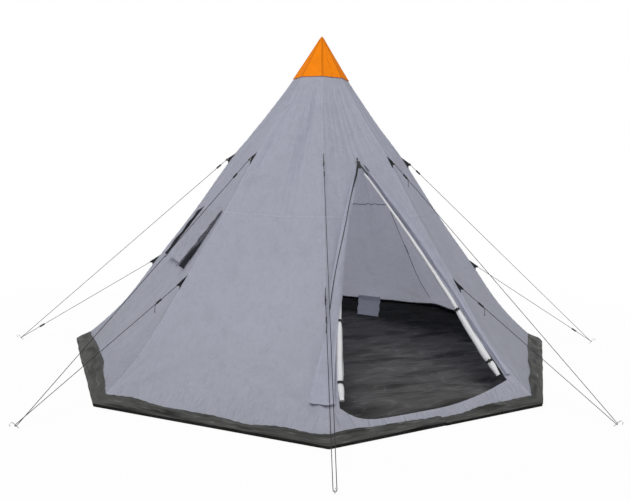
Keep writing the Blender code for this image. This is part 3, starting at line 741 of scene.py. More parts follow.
class TentColours(bpy.types.PropertyGroup):
    """Linear colours of the finishes."""

    canopy: colour_property("Canopy cloth", (0.52, 0.535, 0.626))
    pale: colour_property("Rear flap", (0.5, 0.512, 0.556))
    cap: colour_property("Peak cap", (0.93, 0.245, 0.006))
    groundsheet: colour_property("Groundsheet", (0.072, 0.07, 0.069))
    band: colour_property("Groundsheet band", (0.056, 0.056, 0.0545))
    net: colour_property("Door net", (0.78, 0.78, 0.8))
    vent_netting: colour_property("Vent netting", (0.012, 0.012, 0.014))
    gusset: colour_property("Guy gussets", (0.016, 0.018, 0.022))
    tie: colour_property("Door ties", (0.02, 0.022, 0.026))
    zip: colour_property("Zip tape", (0.02, 0.022, 0.024))
    binding: colour_property("Ridge binding", (0.07, 0.072, 0.085))
    rope: colour_property("Guy rope", (0.014, 0.0142, 0.016))
    runner: colour_property("Runners", (0.014, 0.014, 0.016))
    ring: colour_property("Guy rings", (0.5, 0.51, 0.48))
    pole_end: colour_property("Pole ends", (0.018, 0.018, 0.02))
    slider: colour_property("Zip slider", (0.05, 0.05, 0.035))
    steel: colour_property("Steel", (0.58, 0.58, 0.59))
    ground: colour_property("Ground", (1.0, 1.0, 1.0))


# Stage

STAGE_HALF = 60.0
STAGE_LEVEL = -0.0008
AMBIENT = 0.3
CAMERA_PLACE = (-2.0978, -4.5036, 1.4697)
CAMERA_ANGLES = (-26.386, -8.236, 1.481)


class TENT_OT_stage(bpy.types.Operator):
    """Put up the floor, the soft light and the camera"""

    bl_idname = "tent.stage"
    bl_label = "Stage"

    def execute(self, context):
        self.floor()
        self.light(context.scene)
        self.camera(context.scene)
        return {"FINISHED"}

    def floor(self):
        """Flat square, far larger than the tent, just under it. The camera sees it as plain white, mixed with
        a little of the tent's shadow close by."""
        grid = np.linspace(-STAGE_HALF, STAGE_HALF, 3)
        points = stacked(grid, grid[:, None], STAGE_LEVEL)
        mesh = bpy.data.meshes.new("floor")
        mesh.from_pydata(points.reshape(-1, 3), [], grid_faces(3, 3))
        pale = Finish("floor_pale", 1.0, 0.0)
        pale.fill({"Base Color": colour_of("ground")})
        plain = pale.add("Emission", {"Color": WHITE, "Strength": 1.0})[0]
        path = pale.add("LightPath")
        seen = pale.sums("MAXIMUM", path["Is Camera Ray"], path["Is Glossy Ray"])
        away = pale.add("VectorMath", {0: pale.on_object()}, operation="LENGTH")["Value"]
        share = pale.sums("MULTIPLY", seen, pale.spread(away, 2.4, 4.5, 0.93, 1.0))
        pale.mixed(share, pale.shader.outputs[0], plain)
        mesh.materials.append(pale.made)
        placed("floor", mesh)

    def light(self, scene):
        """Even white sky that the camera sees as plain white, and one broad, soft sun."""
        scene.world = bpy.data.worlds.new("studio")
        scene.world.use_nodes = True
        sky = Nodes(scene.world.node_tree)
        path = sky.add("LightPath")
        seen = sky.sums("MAXIMUM", path["Is Camera Ray"], path["Is Transmission Ray"])
        seen = sky.sums("MAXIMUM", seen, path["Is Glossy Ray"])
        background = sky.tree.nodes["Background"].inputs
        sky.give(background["Color"], WHITE)
        sky.give(background["Strength"], sky.sums("MULTIPLY_ADD", seen, 1.0 - AMBIENT, AMBIENT))
        lamp = bpy.data.lights.new("soft_sun", "SUN")
        lamp.energy = 2.0
        lamp.angle = math.radians(32)
        placed("soft_sun", lamp).rotation_euler = (math.radians(38), 0.0, math.radians(-38))

    def camera(self, scene):
        """Camera at the photograph's place: turned, tilted down and rolled a little."""
        turn, tilt, roll = (math.radians(angle) for angle in CAMERA_ANGLES)
        flat = math.cos(tilt)
        ahead = np.array([-math.sin(turn) * flat, math.cos(turn) * flat, math.sin(tilt)])
        level = level_beside(ahead)
        right = level * math.cos(roll) + np.cross(level, ahead) * math.sin(roll)
        up = np.cross(right, ahead)
        data = bpy.data.cameras.new("camera")
        data.sensor_fit = "HORIZONTAL"
        data.sensor_width = 36.0
        data.lens = 34.373
        data.shift_x = -0.02667
        data.shift_y = 0.00819
        camera = placed("camera", data)
        axes = Matrix(np.stack([right, up, -ahead], axis=1)).to_4x4()
        camera.matrix_world = Matrix.Translation(CAMERA_PLACE) @ axes
        scene.camera = camera
        scene.view_settings.view_transform = "Standard"


# Guy lines, in the frame of a ridge at +X

RING_HALF_LENGTH = 0.014
RING_HALF_WIDTH = 0.008
RING_WIRE = 0.0036
RING_CENTRE = -0.0115
KNOT_START = -0.004
KNOT_CORD = 0.0018
RUNNER_HALVES = (0.025, 0.0068, 0.0041)
RUNNER_BORE = ROPE_DIAMETER / 2 + 0.0003
RUNNER_RIM = 0.0006
TAIL_AT = {"upper": (1, 3, 4, 5), "lower": (1, 3, 4, 5, 7, 8)}


def gusset_corner(top):
    height = top - GUSSET_CORNER_DROP
    side = -SEAM_GAP - GUSSET_THICKNESS / 2
    return np.array([ridge_radius(height) + GUSSET_REACH, side, height])


def guy_slope():
    """Mean slope of a ridge's two lines, which its peg leans square to."""
    corners = [gusset_corner(top) for top in GUSSET_TOPS]
    return sum(math.atan2(corner[2] - LOOP_HEIGHT, PEG_RADIUS - corner[0]) for corner in corners) / 2


def peg_axes():
    """Directions along the peg's shaft, and away from the tent square to it."""
    slope = guy_slope()
    shaft = np.array([math.sin(slope), 0.0, math.cos(slope)])
    return shaft, np.array([math.cos(slope), 0.0, -math.sin(slope)])


def rope_loop(steps=14):
    """Half turn of the rope round the peg, from the upper line to the lower one."""
    _, outward = peg_axes()
    seat_gap = LOOP_RADIUS - PEG_WIRE / 2 - ROPE_DIAMETER / 2 - PEG_FIT
    centre = np.array([PEG_RADIUS, 0.0, LOOP_HEIGHT]) - outward * seat_gap
    turn = column(math.pi / 2, -math.pi / 2, steps + 1)
    return centre + (np.sin(turn) * ALONG_WALL + np.cos(turn) * outward) * LOOP_RADIUS


def guy_line(level):
    """Start, direction and far end of the straight line from a gusset's corner to the peg's loop."""
    loop = rope_loop()
    top, end = (GUSSET_TOPS[0], loop[0]) if level == "upper" else (GUSSET_TOPS[1], loop[-1])
    corner = gusset_corner(top)
    along = unit(end - corner)
    return corner + along * SEAM_GAP, along, end


def guy_route():
    """The rope's centreline: down from the upper gusset, round the peg, and up to the lower gusset."""
    lines = []
    for level in ("upper", "lower"):
        start, _, end = guy_line(level)
        lines.append(start + (end - start) * column(0, 1, 17)[:-1])
    return np.concatenate([lines[0], rope_loop(), lines[1][::-1]])


def peg_route():
    """Hooked wire from the ground up: a leaning shaft and most of a turn at its head."""
    shaft, outward = peg_axes()
    middle = np.array([PEG_RADIUS, 0.0, LOOP_HEIGHT])
    lowest = PEG_WIRE / 2 * shaft[0] + SEAM_GAP / 2
    foot = middle - shaft * ((LOOP_HEIGHT - lowest) / shaft[2])
    bend = foot + shaft * PEG_SHAFT
    turn = column(0, PEG_HOOK_TURN, 20)
    hook = bend + (outward * (1 - np.cos(turn)) + shaft * np.sin(turn)) * PEG_HOOK_RADIUS
    rise = foot + (bend - foot) * column(0, 1, 7)[:-1]
    return np.concatenate([rise, hook])


def knot_route(start, along, turns=1.5, reach=0.0038, pitch=0.0036):
    """Coil of cord wound round the end of the rope."""
    share = column(0, 1, 42)
    turn = 2 * math.pi * turns * share
    side = level_beside(along)
    other = np.cross(along, side)
    return start + along * pitch * turns * share + (np.cos(turn) * side + np.sin(turn) * other) * reach


def ring_route(start, along):
    """Oval through the gusset, in a plane that is turned half way between it and square to it."""
    turn = column(0, 2 * math.pi, 41)[:-1]
    level = level_beside(along)
    wide = unit(level + np.cross(level, along))
    oval = along * np.cos(turn) * RING_HALF_LENGTH + wide * np.sin(turn) * RING_HALF_WIDTH
    return start + along * RING_CENTRE + oval, np.cross(along, wide)


def rounded(wave, power):
    """A sine wave raised to a power on both sides of zero, which squares off a round section."""
    return np.sign(wave) * np.abs(wave) ** power


def runner_surface():
    """Flat slider on a rope along X: a rounded section, from thin to wide and back over its length, with
    grip grooves in its two faces, closed by the bore through its middle."""
    half_length, half_width, half_thick = RUNNER_HALVES
    thinnest = RUNNER_BORE + RUNNER_RIM
    straight = half_length - half_width
    ends = straight + math.sqrt(half_width**2 - thinnest**2)
    place = ends * np.sin(column(-math.pi / 2, math.pi / 2, 41))
    past = np.clip(np.abs(place) - straight, 0, None)
    width = np.sqrt(half_width**2 - past**2)
    grooves = 0.0006 * (0.5 - 0.5 * np.cos(2 * math.pi * place / 0.0065)) * (np.abs(place) < 0.013)
    thick = np.maximum(half_thick * (1 - 0.3 * (past / half_width) ** 2) - grooves, thinnest)
    turn = np.linspace(0, 2 * math.pi, 33)
    power = 2 / 3.2
    outer = stacked(place, thick * rounded(np.cos(turn), power), width * rounded(np.sin(turn), power))
    inner = stacked(place[::-10], RUNNER_BORE * np.cos(turn), RUNNER_BORE * np.sin(turn))
    points = np.concatenate([outer, inner, outer[:1]])
    return points, metres(len(points), 33, 0.04, 0.1)


def carried(points, start, along):
    """Points of a runner carried to their place on a line: X along it, Y level and Z square to both."""
    level = level_beside(along)
    return start + points @ np.stack([along, -level, np.cross(level, along)])


def tail_route(start, along, length):
    """Spare cord that leaves a runner along the line and drops."""
    way = column(0, 1, 16) * length
    bend = 0.022
    run = bend * (1 - np.exp(-way / bend * 1.6))
    return start + along * run * 0.8 - UP * (way - 0.7 * run)


class TENT_OT_guy_lines(bpy.types.Operator):
    """Run the guy ropes, with their rings, knots, runners and pegs"""

    bl_idname = "tent.guy_lines"
    bl_label = "Guy lines"

    def execute(self, context):
        for number in range(1, SIDES + 1):
            self.one_line(number, ridge_turn(number - 1), context.scene.tent_sizes.tail)
        return {"FINISHED"}

    def one_line(self, number, turn, tail):
        shaft, _ = peg_axes()
        lines = {level: guy_line(level) for level in RUNNER_AT}

        def swung(points, uv):
            return turned(points, turn), uv

        path, axis = ring_route(*lines["upper"][:2])
        patch = swung(*tube(path, RING_WIRE / 2, axis, 10, loop=True))
        ring = new_piece(f"guy_ring_{number}", "ring", [patch], "tent", "runner", closed=True)
        coils = [(knot_route(start + along * KNOT_START, along), along) for start, along, _ in lines.values()]
        patches = [swung(*tube(coil, KNOT_CORD, along, 8)) for coil, along in coils]
        knot = new_piece(f"guy_knots_{number}", "rope", patches, "tent", "guy_rope", closed=True)
        patch = swung(*tube(peg_route(), PEG_WIRE / 2, ALONG_WALL, 16))
        peg = new_piece(f"guy_peg_{number}", "peg", [patch], "tent", "peg", f"peg_{number}", closed=True)
        runners = [self.runner(level, number, swung, line, tail) for level, line in lines.items()]
        patch = swung(*tube(guy_route(), ROPE_DIAMETER / 2, shaft, 12))
        rope = new_piece(
            f"guy_cord_{number}", "rope", [patch], "tent", "guy_rope", f"guy_rope_{number}", closed=True
        )

    def runner(self, level, number, swung, line, tail):
        """One runner on its own body, and the spare cord that hangs from some of them."""
        start, along, _ = line
        name = f"runner_{level}_{number}"
        points, uv = runner_surface()
        middle = start + along * RUNNER_AT[level][number - 1]
        patch = swung(carried(points, middle, along), uv)
        runner = new_piece(f"guy_{name}", "runner", [patch], name, "runner", name, closed=True)
        if number in TAIL_AT[level]:
            path = tail_route(middle + along * 0.021 - UP * 0.0035, along, tail)
            radius = ROPE_DIAMETER / 2 * (0.9 + 0.7 * bump(0.9, 0.06, np.linspace(0, 1, len(path))))
            patch = swung(*tube(path, radius, ALONG_WALL, 10))
            cord = new_piece(f"guy_tail_{level}_{number}", "rope", [patch], name, "guy_rope", closed=True)
            route, _ = swung(path, None)
        return runner


# Canopy


def joined_rows(*runs):
    """Heights from one level to the next, with a count of steps in each run."""
    rows = [np.linspace(low, high, count, endpoint=False) for low, high, count in runs]
    return np.concatenate([*rows, [runs[-1][1]]])


LAP_HALF = LAP_WIDTH + SEAM_SLOPE
CANOPY_ROWS = joined_rows(
    (0.012, DOOR_CORNER, 12),
    (DOOR_CORNER, VENT_FOOT, 34),
    (VENT_FOOT, VENT_TOP, 15),
    (VENT_TOP, VENT_HINGE - LAP_HALF, 2),
    (VENT_HINGE - LAP_HALF, VENT_HINGE + LAP_HALF, 8),
    (VENT_HINGE + LAP_HALF, DOOR_TOP, 18),
    (DOOR_TOP, 2.1, 32),
    (2.1, 2.2, 4),
)
SEAM_COLUMNS = np.array([0.0, 0.0045, SEAM_WIDTH, SEAM_WIDTH + SEAM_SLOPE, 0.017])
EDGE_COLUMNS = np.array([0.0, DOOR_HEM, DOOR_HEM + SEAM_SLOPE])
RIDGE_SPANS = ((0.1, 0.66), (0.71, 1.48))
GUY_PULL = (0.34, 0.006, 7)
HEM_PULL = (0.45, 0.015, 8)
PULLS = ((1.525, *GUY_PULL), (0.685, *GUY_PULL), (0.06, *HEM_PULL))


def door_width(share):
    """Half width of the doorway, and of half the door, from its peak (0) to the sill's end (1)."""
    return DOOR_HALF_WIDTH * share + 4 * DOOR_BOW * share * (1 - share)


def door_height(share):
    return DOOR_TOP + (DOOR_CORNER - DOOR_TOP) * share


def door_edge(height):
    """Half width of the doorway at a height: 0 above its peak, and the sill's half below its corners."""
    return door_width(np.clip((DOOR_TOP - height) / (DOOR_TOP - DOOR_CORNER), 0.0, 1.0))


def vent_taper(height):
    """1 up to the top of the vent, and down to 0 at the peak."""
    return np.minimum(1.0, (HEIGHT - height) / (HEIGHT - VENT_TOP))


def vent_middle(height):
    """Middle of the vent's opening, drawn to the middle of the panel towards the peak."""
    return VENT_OFFSET * vent_taper(height)


def vent_edge(height):
    """Half width of the vent's opening, carried on up and down its panel as a line of the cloth's grid."""
    share = np.clip((height - VENT_FOOT) / (VENT_TOP - VENT_FOOT), 0.0, 1.0)
    return (VENT_HALF_FOOT + (VENT_HALF_TOP - VENT_HALF_FOOT) * share) * vent_taper(height)


def columns_between(first, last, head, tail, count):
    """Places across a strip for each row: fixed steps in from both edges and even ones between them."""
    near = first[:, None] + head
    far = last[:, None] - tail[::-1]
    shares = np.linspace(0, 1, count + 2)[1:-1]
    middle = near[:, -1:] + (far[:, :1] - near[:, -1:]) * shares
    return np.concatenate([near, middle, far], axis=1)


def ridge_hang(height, sizes):
    """How far a ridge hangs in: squared sine waves between its guys, and half a sine wave below the peak."""
    low = sum(half_wave((height - a) / (b - a)) ** 2 for a, b in RIDGE_SPANS)
    high = half_wave((height - GUSSET_TOPS[0]) / (HEIGHT - GUSSET_TOPS[0]))
    return sizes.ridge_sag * low + sizes.peak_sag * high


def fan_folds(draw, share, height):
    """Long folds that fan out below the cap: sine waves across the panel that lean and fade with height."""
    counts = np.arange(3, 17)
    phase = draw.uniform(0, 2 * math.pi, (3, len(counts)))
    size = draw.uniform(0.45, 1.0, len(counts)) / np.sqrt(counts)
    lean = draw.uniform(-1.3, 1.3, len(counts))
    fan = math.pi * share[..., None] * counts + lean * height[..., None] + phase[0]
    strength = 0.55 + 0.45 * np.sin(height[..., None] * draw.uniform(2.5, 6.0, len(counts)) + phase[1])
    return (size * strength * np.sin(fan)).sum(-1)


def corner_pulls(draw, half, across, height):
    """Folds that pull from each guy gusset and hem corner: sine waves round it that die out with distance."""
    pulls = 0.0
    for centre, length, depth, count in PULLS:
        for side in (-1, 1):
            edge = half - side * across
            down = (height - centre) * SLANT
            away = np.hypot(edge, down)
            swing = np.sin(count * np.arctan2(edge, down) + draw.uniform(0, 2 * math.pi))
            start = smooth_step(0.02, 0.14, away) * (1 - np.exp(-edge / 0.03))
            pulls = pulls + depth * np.exp(-away / length) * swing * start
    return pulls


def door_relief(across, height):
    """The doorway's raised hem, and shallow folds beside its right edge."""
    hem = np.where(height < DOOR_TOP, np.abs(across) - door_edge(height), 1.0)
    raised = 0.0016 * fade(DOOR_HEM, DOOR_HEM + SEAM_SLOPE, hem) * (height > DOOR_CORNER - 0.001)
    drawn = smooth_step(0.2, 0.4, height) * fade(1.25, 1.45, height) * smooth_step(0.01, 0.03, hem)
    beside = np.sin(2 * math.pi * hem / 0.052 + 1.5 * np.sin(4.0 * height))
    from_ridge = 1 - np.abs(across / half_panel(height)) ** 5
    return raised + 0.0034 * beside * drawn * from_ridge * (across > 0)


def canopy_relief(panel, across, height, sizes):
    """How far the cloth stands off its flat panel: sag, long folds that fan out below the cap, folds that
    pull from each guy gusset and hem corner, a light crumple, and the raised seams."""
    half = half_panel(height)
    share = across / half
    ridge = half - np.abs(across)
    draw = np.random.default_rng(100 + panel)
    loose = {0: 0.3, VENT_PANEL: 0.55}.get(panel, 1.0)
    loose = loose + (1.0 - loose) * smooth_step(1.4, 1.65, height)
    from_ridge = 1 - np.abs(share) ** 5
    under_cap = fade(2.0, 2.12, height)
    sag = sizes.wall_sag * loose * (1 - share**2) * half_wave((height - 0.1) / 2.0) ** 0.8
    reach = smooth_step(0.12, 1.2, height) * fade(2.02, 2.15, height)
    upper = 1 + (0.1 if panel == 0 else 0.9) * smooth_step(1.2, 1.7, height)
    folds = fan_folds(draw, share, height) * sizes.fold_depth * loose * upper * reach
    folds = folds * from_ridge * np.clip(half / 0.28, 0.45, 1.25)
    pulls = corner_pulls(draw, half, across, height) * smooth_step(0.07, 0.16, height) * under_cap
    pulls = pulls * np.maximum(loose, 0.5)
    lengths, depth = ((0.09, 0.34), 0.0042) if panel == VENT_PANEL else ((0.16, 0.42), 0.0017)
    crumple = depth * ripple(200 + panel, across, height * SLANT, lengths, 9) * from_ridge
    crumple = crumple * smooth_step(0.08, 0.2, height) * under_cap
    pucker = 0.0009 * np.sin(2 * math.pi * height / 0.047) * np.exp(-ridge / 0.02)
    pucker = pucker * smooth_step(0.1, 0.2, height) * fade(1.95, 2.1, height)
    seam = 0.0009 * fade(SEAM_WIDTH, SEAM_WIDTH + SEAM_SLOPE, ridge) * under_cap
    lap = 0.0014 * fade(LAP_WIDTH, LAP_HALF, np.abs(height - VENT_HINGE))
    total = -sag - ridge_hang(height, sizes) + folds + pulls + crumple + pucker + seam + lap
    return total + door_relief(across, height) if panel == 0 else total


def canopy_patch(panel, across, height, sizes):
    """Part of the canopy, with its cloth's own place and its distance from the nearer ridge."""
    across, height = np.broadcast_arrays(across, height)
    points = on_wall(panel, across, height, canopy_relief(panel, across, height, sizes))
    seam = half_panel(height) - np.abs(across)
    return points, stacked(across + 2.0 * panel, height * SLANT), stacked(seam, height * SLANT)


def level_rows(_, heights):
    return heights


def door_sill(across, heights):
    """Rows below the doorway, pressed down to its sagging sill."""
    low = CANOPY_ROWS[0]
    share = across / DOOR_HALF_WIDTH
    rise = np.where(share > 0, np.abs(share) ** 1.8, np.abs(share) ** 8)
    top = DOOR_SILL + (DOOR_CORNER - DOOR_SILL) * rise
    return low + (heights - low) * (top - low) / (DOOR_CORNER - low)


def split_panel(panel, edge, middle, sizes, levels, *middles):
    """A panel with an opening: strips on both sides of it, and middle parts below and above it, whose rows
    lie at levels of their own."""
    rows = CANOPY_ROWS
    half, inner, centre = half_panel(rows), edge(rows), middle(rows)
    left = columns_between(-half, centre - inner, SEAM_COLUMNS, EDGE_COLUMNS, 22)
    right = columns_between(centre + inner, half, EDGE_COLUMNS, SEAM_COLUMNS, 22)
    patches = [canopy_patch(panel, across, rows[:, None], sizes) for across in (left, right)]
    for chosen in middles:
        across = centre[chosen][:, None] + inner[chosen][:, None] * np.linspace(-1, 1, 33)
        patches.append(canopy_patch(panel, across, levels(across, rows[chosen][:, None]), sizes))
    return patches


def panel_patches(panel, sizes):
    rows = CANOPY_ROWS
    if panel == 0:
        return split_panel(panel, door_edge, np.zeros_like, sizes, door_sill, rows <= DOOR_CORNER + WELD)
    if panel == VENT_PANEL:
        middles = (rows <= VENT_FOOT + WELD, rows >= VENT_TOP - WELD)
        return split_panel(panel, vent_edge, vent_middle, sizes, level_rows, *middles)
    half = half_panel(rows)
    across = columns_between(-half, half, SEAM_COLUMNS, SEAM_COLUMNS, 54)
    return [canopy_patch(panel, across, rows[:, None], sizes)]


def cut_area(half_width, low, high):
    """Area of wall between two heights, from the mean of its width over even steps."""
    heights = np.linspace(low, high, 400)
    return float(np.mean(2 * half_width(heights)) * (high - low) * SLANT)


class TENT_OT_canopy(bpy.types.Operator):
    """Stretch the canopy as one sheet, and sew on its gussets and ridge bindings"""

    bl_idname = "tent.canopy"
    bl_label = "Canopy"

    def execute(self, context):
        sizes = context.scene.tent_sizes
        rows = CANOPY_ROWS
        patches = [patch for panel in range(SIDES) for patch in panel_patches(panel, sizes)]
        panels = [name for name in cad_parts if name.startswith("panel_")]
        canopy = new_piece("canopy_cloth", "canopy", patches, "tent", "canopy", *panels)
        gussets = self.gussets()
        bindings = self.bindings(sizes)
        whole = cut_area(half_panel, rows[0], rows[-1]) * SIDES
        holes = cut_area(door_edge, DOOR_CORNER, DOOR_TOP) + cut_area(vent_edge, VENT_FOOT, VENT_TOP)
        return {"FINISHED"}

    def gussets(self):
        """Triangular fins: lines from the ridge to a blunt corner, with a hollow lower edge."""
        patches = []
        down = column(0, 1, 13)
        out = np.linspace(0, 1, 11)
        hollow = 0.2 * np.sin(math.pi * out)[None, :, None] * down[:, :, None] ** 2
        for ridge in range(SIDES):
            for top in GUSSET_TOPS:
                corner = gusset_corner(top)
                pull = np.array([PEG_RADIUS, corner[1], LOOP_HEIGHT]) - corner
                tab = unit(np.array([-pull[2], 0.0, pull[0]])) * GUSSET_TAB / 2
                foot = top - GUSSET_LENGTH
                head = np.array([ridge_radius(top) - GUSSET_SINK, corner[1], top])
                base = np.array([ridge_radius(foot) - GUSSET_SINK, corner[1], foot])
                ridge_line = head + (base - head) * down
                blunt = corner + tab * (1 - 2 * down)
                fin = ridge_line[:, None] + (blunt - ridge_line)[:, None] * out[None, :, None]
                fin = fin + (head - base) * hollow * 0.55
                fin[..., 1] += 0.0012 * np.sin(9 * out + 5 * down)
                patches.append((turned(fin, ridge_turn(ridge)), stacked(0.1 * out, 0.1 * down)))
        return new_piece(
            "guy_gussets", "gusset", patches, "tent", "tie", thickness=GUSSET_THICKNESS, offset=0.0
        )

    def bindings(self, sizes):
        """Narrow tapes sewn over the inside of each ridge and of the lap seam."""
        rows = column(0.12, 2.12, 70)
        across = np.array([-0.0035, 0.0, 0.0035])
        radius = ridge_radius(rows) - 0.003 - 1.2 * ridge_hang(rows, sizes)
        points = stacked(radius - np.abs(across) * math.tan(HALF_SECTOR), across, rows)
        cloth = stacked(across, rows * SLANT)
        patches = [(turned(points, ridge_turn(ridge)), cloth) for ridge in range(SIDES)]
        height = VENT_HINGE + np.array([[-0.003], [0.003]])
        across = half_panel(VENT_HINGE) * np.linspace(-0.985, 0.985, 60)
        for panel in range(1, SIDES):
            level = canopy_relief(panel, across, height, sizes) - 0.0035
            patches.append((on_wall(panel, across, height, level), stacked(height, across)))
        return new_piece("ridge_bindings", "binding", patches, "tent", "canopy")


CAP_SHOULDER = 2.476
CAP_TIP = HEIGHT - 0.0006
CAP_CLOTH = 0.0014


class TENT_OT_peak_cap(bpy.types.Operator):
    """Pull the peak cap over the top of the canopy"""

    bl_idname = "tent.peak_cap"
    bl_label = "Peak cap"

    def profile(self, sizes):
        """Radius and height of the cap: a straight cone, then a quadratic curve from the cone's slope to
        level at the tip."""
        straight = np.linspace(CAP_EDGE, CAP_SHOULDER, 44)
        radius = WALL_RUN * (HEIGHT - straight) + 0.006 - 1.2 * ridge_hang(straight, sizes)
        share = np.linspace(0, 1, 12)[1:]
        left = (1 - share) ** 2
        bend = radius[-1] - WALL_RUN * (CAP_TIP - CAP_SHOULDER)
        dome_radius = left * radius[-1] + 2 * share * (1 - share) * bend
        dome_height = left * CAP_SHOULDER + (1 - left) * CAP_TIP
        profile = np.concatenate([stacked(radius, straight), stacked(dome_radius, dome_height)])
        return profile[:, :1], profile[:, 1:]

    def execute(self, context):
        """Cone of eight facets that rounds off to a small dome, with raised ridges and sharp and soft
        folds."""
        radius, height = self.profile(context.scene.tent_sizes)
        turn, facet, flat = round_sides(14)
        share = np.clip((height - 2.40) / 0.08, 0, 1)
        low = np.clip((height - CAP_EDGE) / 0.1, 0, 1)
        ridge = HALF_SECTOR - np.abs(facet)
        slack = 0.0012 * fade(0.0, 0.12, low) + 0.0012 * bump(0.0, 0.05, ridge) * (1 - share)
        folds = 0.0015 * ripple(31, turn * 0.16, height * 0.22, (0.018, 0.05), 8) * np.exp(-low * 1.5)
        folds = folds + 0.005 * (creases(32, turn * 0.13, height * 0.12, (0.03, 0.09), 5) - 0.3)
        folds = folds - 0.004 * (1 - (facet / HALF_SECTOR) ** 2) * half_wave(low * 0.9)
        reach = radius * (flat * (1 - share) + share) + slack + np.maximum(folds * (1 - share), -0.003)
        level = height - 0.0006 * (1 + np.cos(turn * 24)) * np.exp(-low * 8)
        points = stacked(reach * np.cos(turn), reach * np.sin(turn), level)
        seam = stacked(ridge * radius, height * SLANT)
        patch = (turned(points, panel_turn(0)), stacked(turn * 0.15, height * SLANT), seam)
        cap = new_piece("peak_cap_cloth", "cap", [patch], "tent", "peak_cap", "peak_cap", thickness=CAP_CLOTH)
        return {"FINISHED"}


# Groundsheet

# Height of the band's upper edge at the middle and the corner of each side in turn, from the doorway
BAND_TOPS = (0.037, 0.055, 0.083, 0.092, 0.06, 0.036, 0.03, 0.03, 0.03)
BAND_TOPS += (0.03, 0.04, 0.084, 0.098, 0.058, 0.046, 0.05, 0.037)
BAND_LOWEST = 0.024
BAND_KNEE = 0.32
BAND_FOOT = 0.02
BAND_TUCK = 0.09


def floor_lift(east, north, sizes):
    """Height of the wrinkles in the floor at a place: soft waves, long ones that run level across the view
    in through the doorway, and sharp creases. The floor is calm round the pole."""
    ahead = 0.44 * east + 0.9 * north
    aside = 0.9 * east - 0.44 * north
    waves = 0.5 + 0.35 * ripple(51, ahead * 1.7, aside, (0.25, 0.8), 10)
    long = 0.8 + ripple(57, ahead, aside * 0.22, (0.11, 0.36), 9)
    sharp = creases(52, ahead, aside * 0.4, (0.14, 0.5), 7)
    lift = 0.5 * np.clip(waves, 0, 1.4) + 0.4 * np.clip(long, 0, 2.4) + 1.3 * sharp
    return sizes.floor_wrinkle * lift * smooth_step(0.06, 0.25, np.hypot(east, north))


class TENT_OT_groundsheet(bpy.types.Operator):
    """Lay the tub groundsheet, with its wrinkled floor and crinkled band"""

    bl_idname = "tent.groundsheet"
    bl_label = "Groundsheet"

    def execute(self, context):
        self.floor(context.scene.tent_sizes)
        self.band(context.scene.tent_sizes)
        return {"FINISHED"}

    def floor(self, sizes):
        """Rows from the middle of the floor out to its corners, lifted by its wrinkles."""
        turn, _, flat = round_sides(56)
        share = column(0, 1, 60) ** 0.8
        reach = share * (CORNER_RADIUS - 0.012) * flat
        x, y = reach * np.cos(turn), reach * np.sin(turn)
        points = turned(stacked(x, y, 0.0022), panel_turn(0))
        points[..., 2] += floor_lift(points[..., 0], points[..., 1], sizes) * fade(0.95, 1.0, share)
        patch = (points, stacked(x, y))
        floor = new_piece(
            "groundsheet_floor", "groundsheet", [patch], "tent", "groundsheet", "groundsheet_tub", sharp=70
        )

    def band(self, sizes):
        """Rows start under the floor, go up a short steep foot and then lie back on the wall to a wavy
        upper edge. Crinkles are folded sine waves along and up the band; a face with slack bulges out at
        its foot."""
        turn, _, flat = round_sides(155)
        way = turn * CORNER_RADIUS
        rise = column(0, 1, 25)
        top = np.interp(turn, HALF_SECTOR * np.arange(len(BAND_TOPS)), BAND_TOPS)
        top = top + 0.005 * ripple(53, way, 0.0, (0.2, 0.9), 7)
        top = np.maximum(top + 0.001 * ripple(54, way, 0.0, (0.05, 0.14), 5), BAND_LOWEST)
        low = np.clip(rise / BAND_KNEE, 0, 1)
        high = np.clip((rise - BAND_KNEE) / (1 - BAND_KNEE), 0, 1)
        height = 0.001 + (BAND_FOOT - 0.001) * low + (top - BAND_FOOT) * high
        wall = ridge_radius(height)
        slack = 0.5 + 0.5 * ripple(58, way, 0.0, (0.5, 1.4), 5)
        lean = 0.004 + (CORNER_RADIUS - wall - 0.004) * (1 - high) ** 1.3
        bulge = (0.004 + 0.008 * slack) * half_wave(0.15 + 0.85 * rise)
        sharp = creases(55, way * 0.16, rise * 0.09, (0.022, 0.07), 10) - 0.3
        soft = 0.5 * ripple(56, way * 0.25, rise * 0.09, (0.03, 0.1), 8)
        calm = smooth_step(0.0, 0.2, rise) * (1 - 0.9 * smooth_step(0.7, 1.0, rise))
        crinkle = sizes.band_crinkle * (1.3 * sharp + soft) * calm
        reach = (wall + np.maximum(lean + bulge + 0.6 * crinkle, 0.003)) * flat
        level = height + 0.6 * np.maximum(crinkle, -0.004) * smooth_step(0.0, 0.4, rise)
        tuck = (CORNER_RADIUS - BAND_TUCK) * flat[None, :]
        reach = np.concatenate([tuck, reach])
        level = np.concatenate([np.full_like(tuck, 0.0012), level])
        points = stacked(reach * np.cos(turn), reach * np.sin(turn), level)
        uv = stacked(way, BAND_FOOT * low + 0.075 * high)
        uv = np.concatenate([uv[:1] - np.array([0.0, BAND_TUCK]), uv])
        patch = (turned(points, panel_turn(0)), uv)
        band = new_piece("groundsheet_band", "band", [patch], "tent", "groundsheet", sharp=75)


# Doorway, in the frame of the door panel

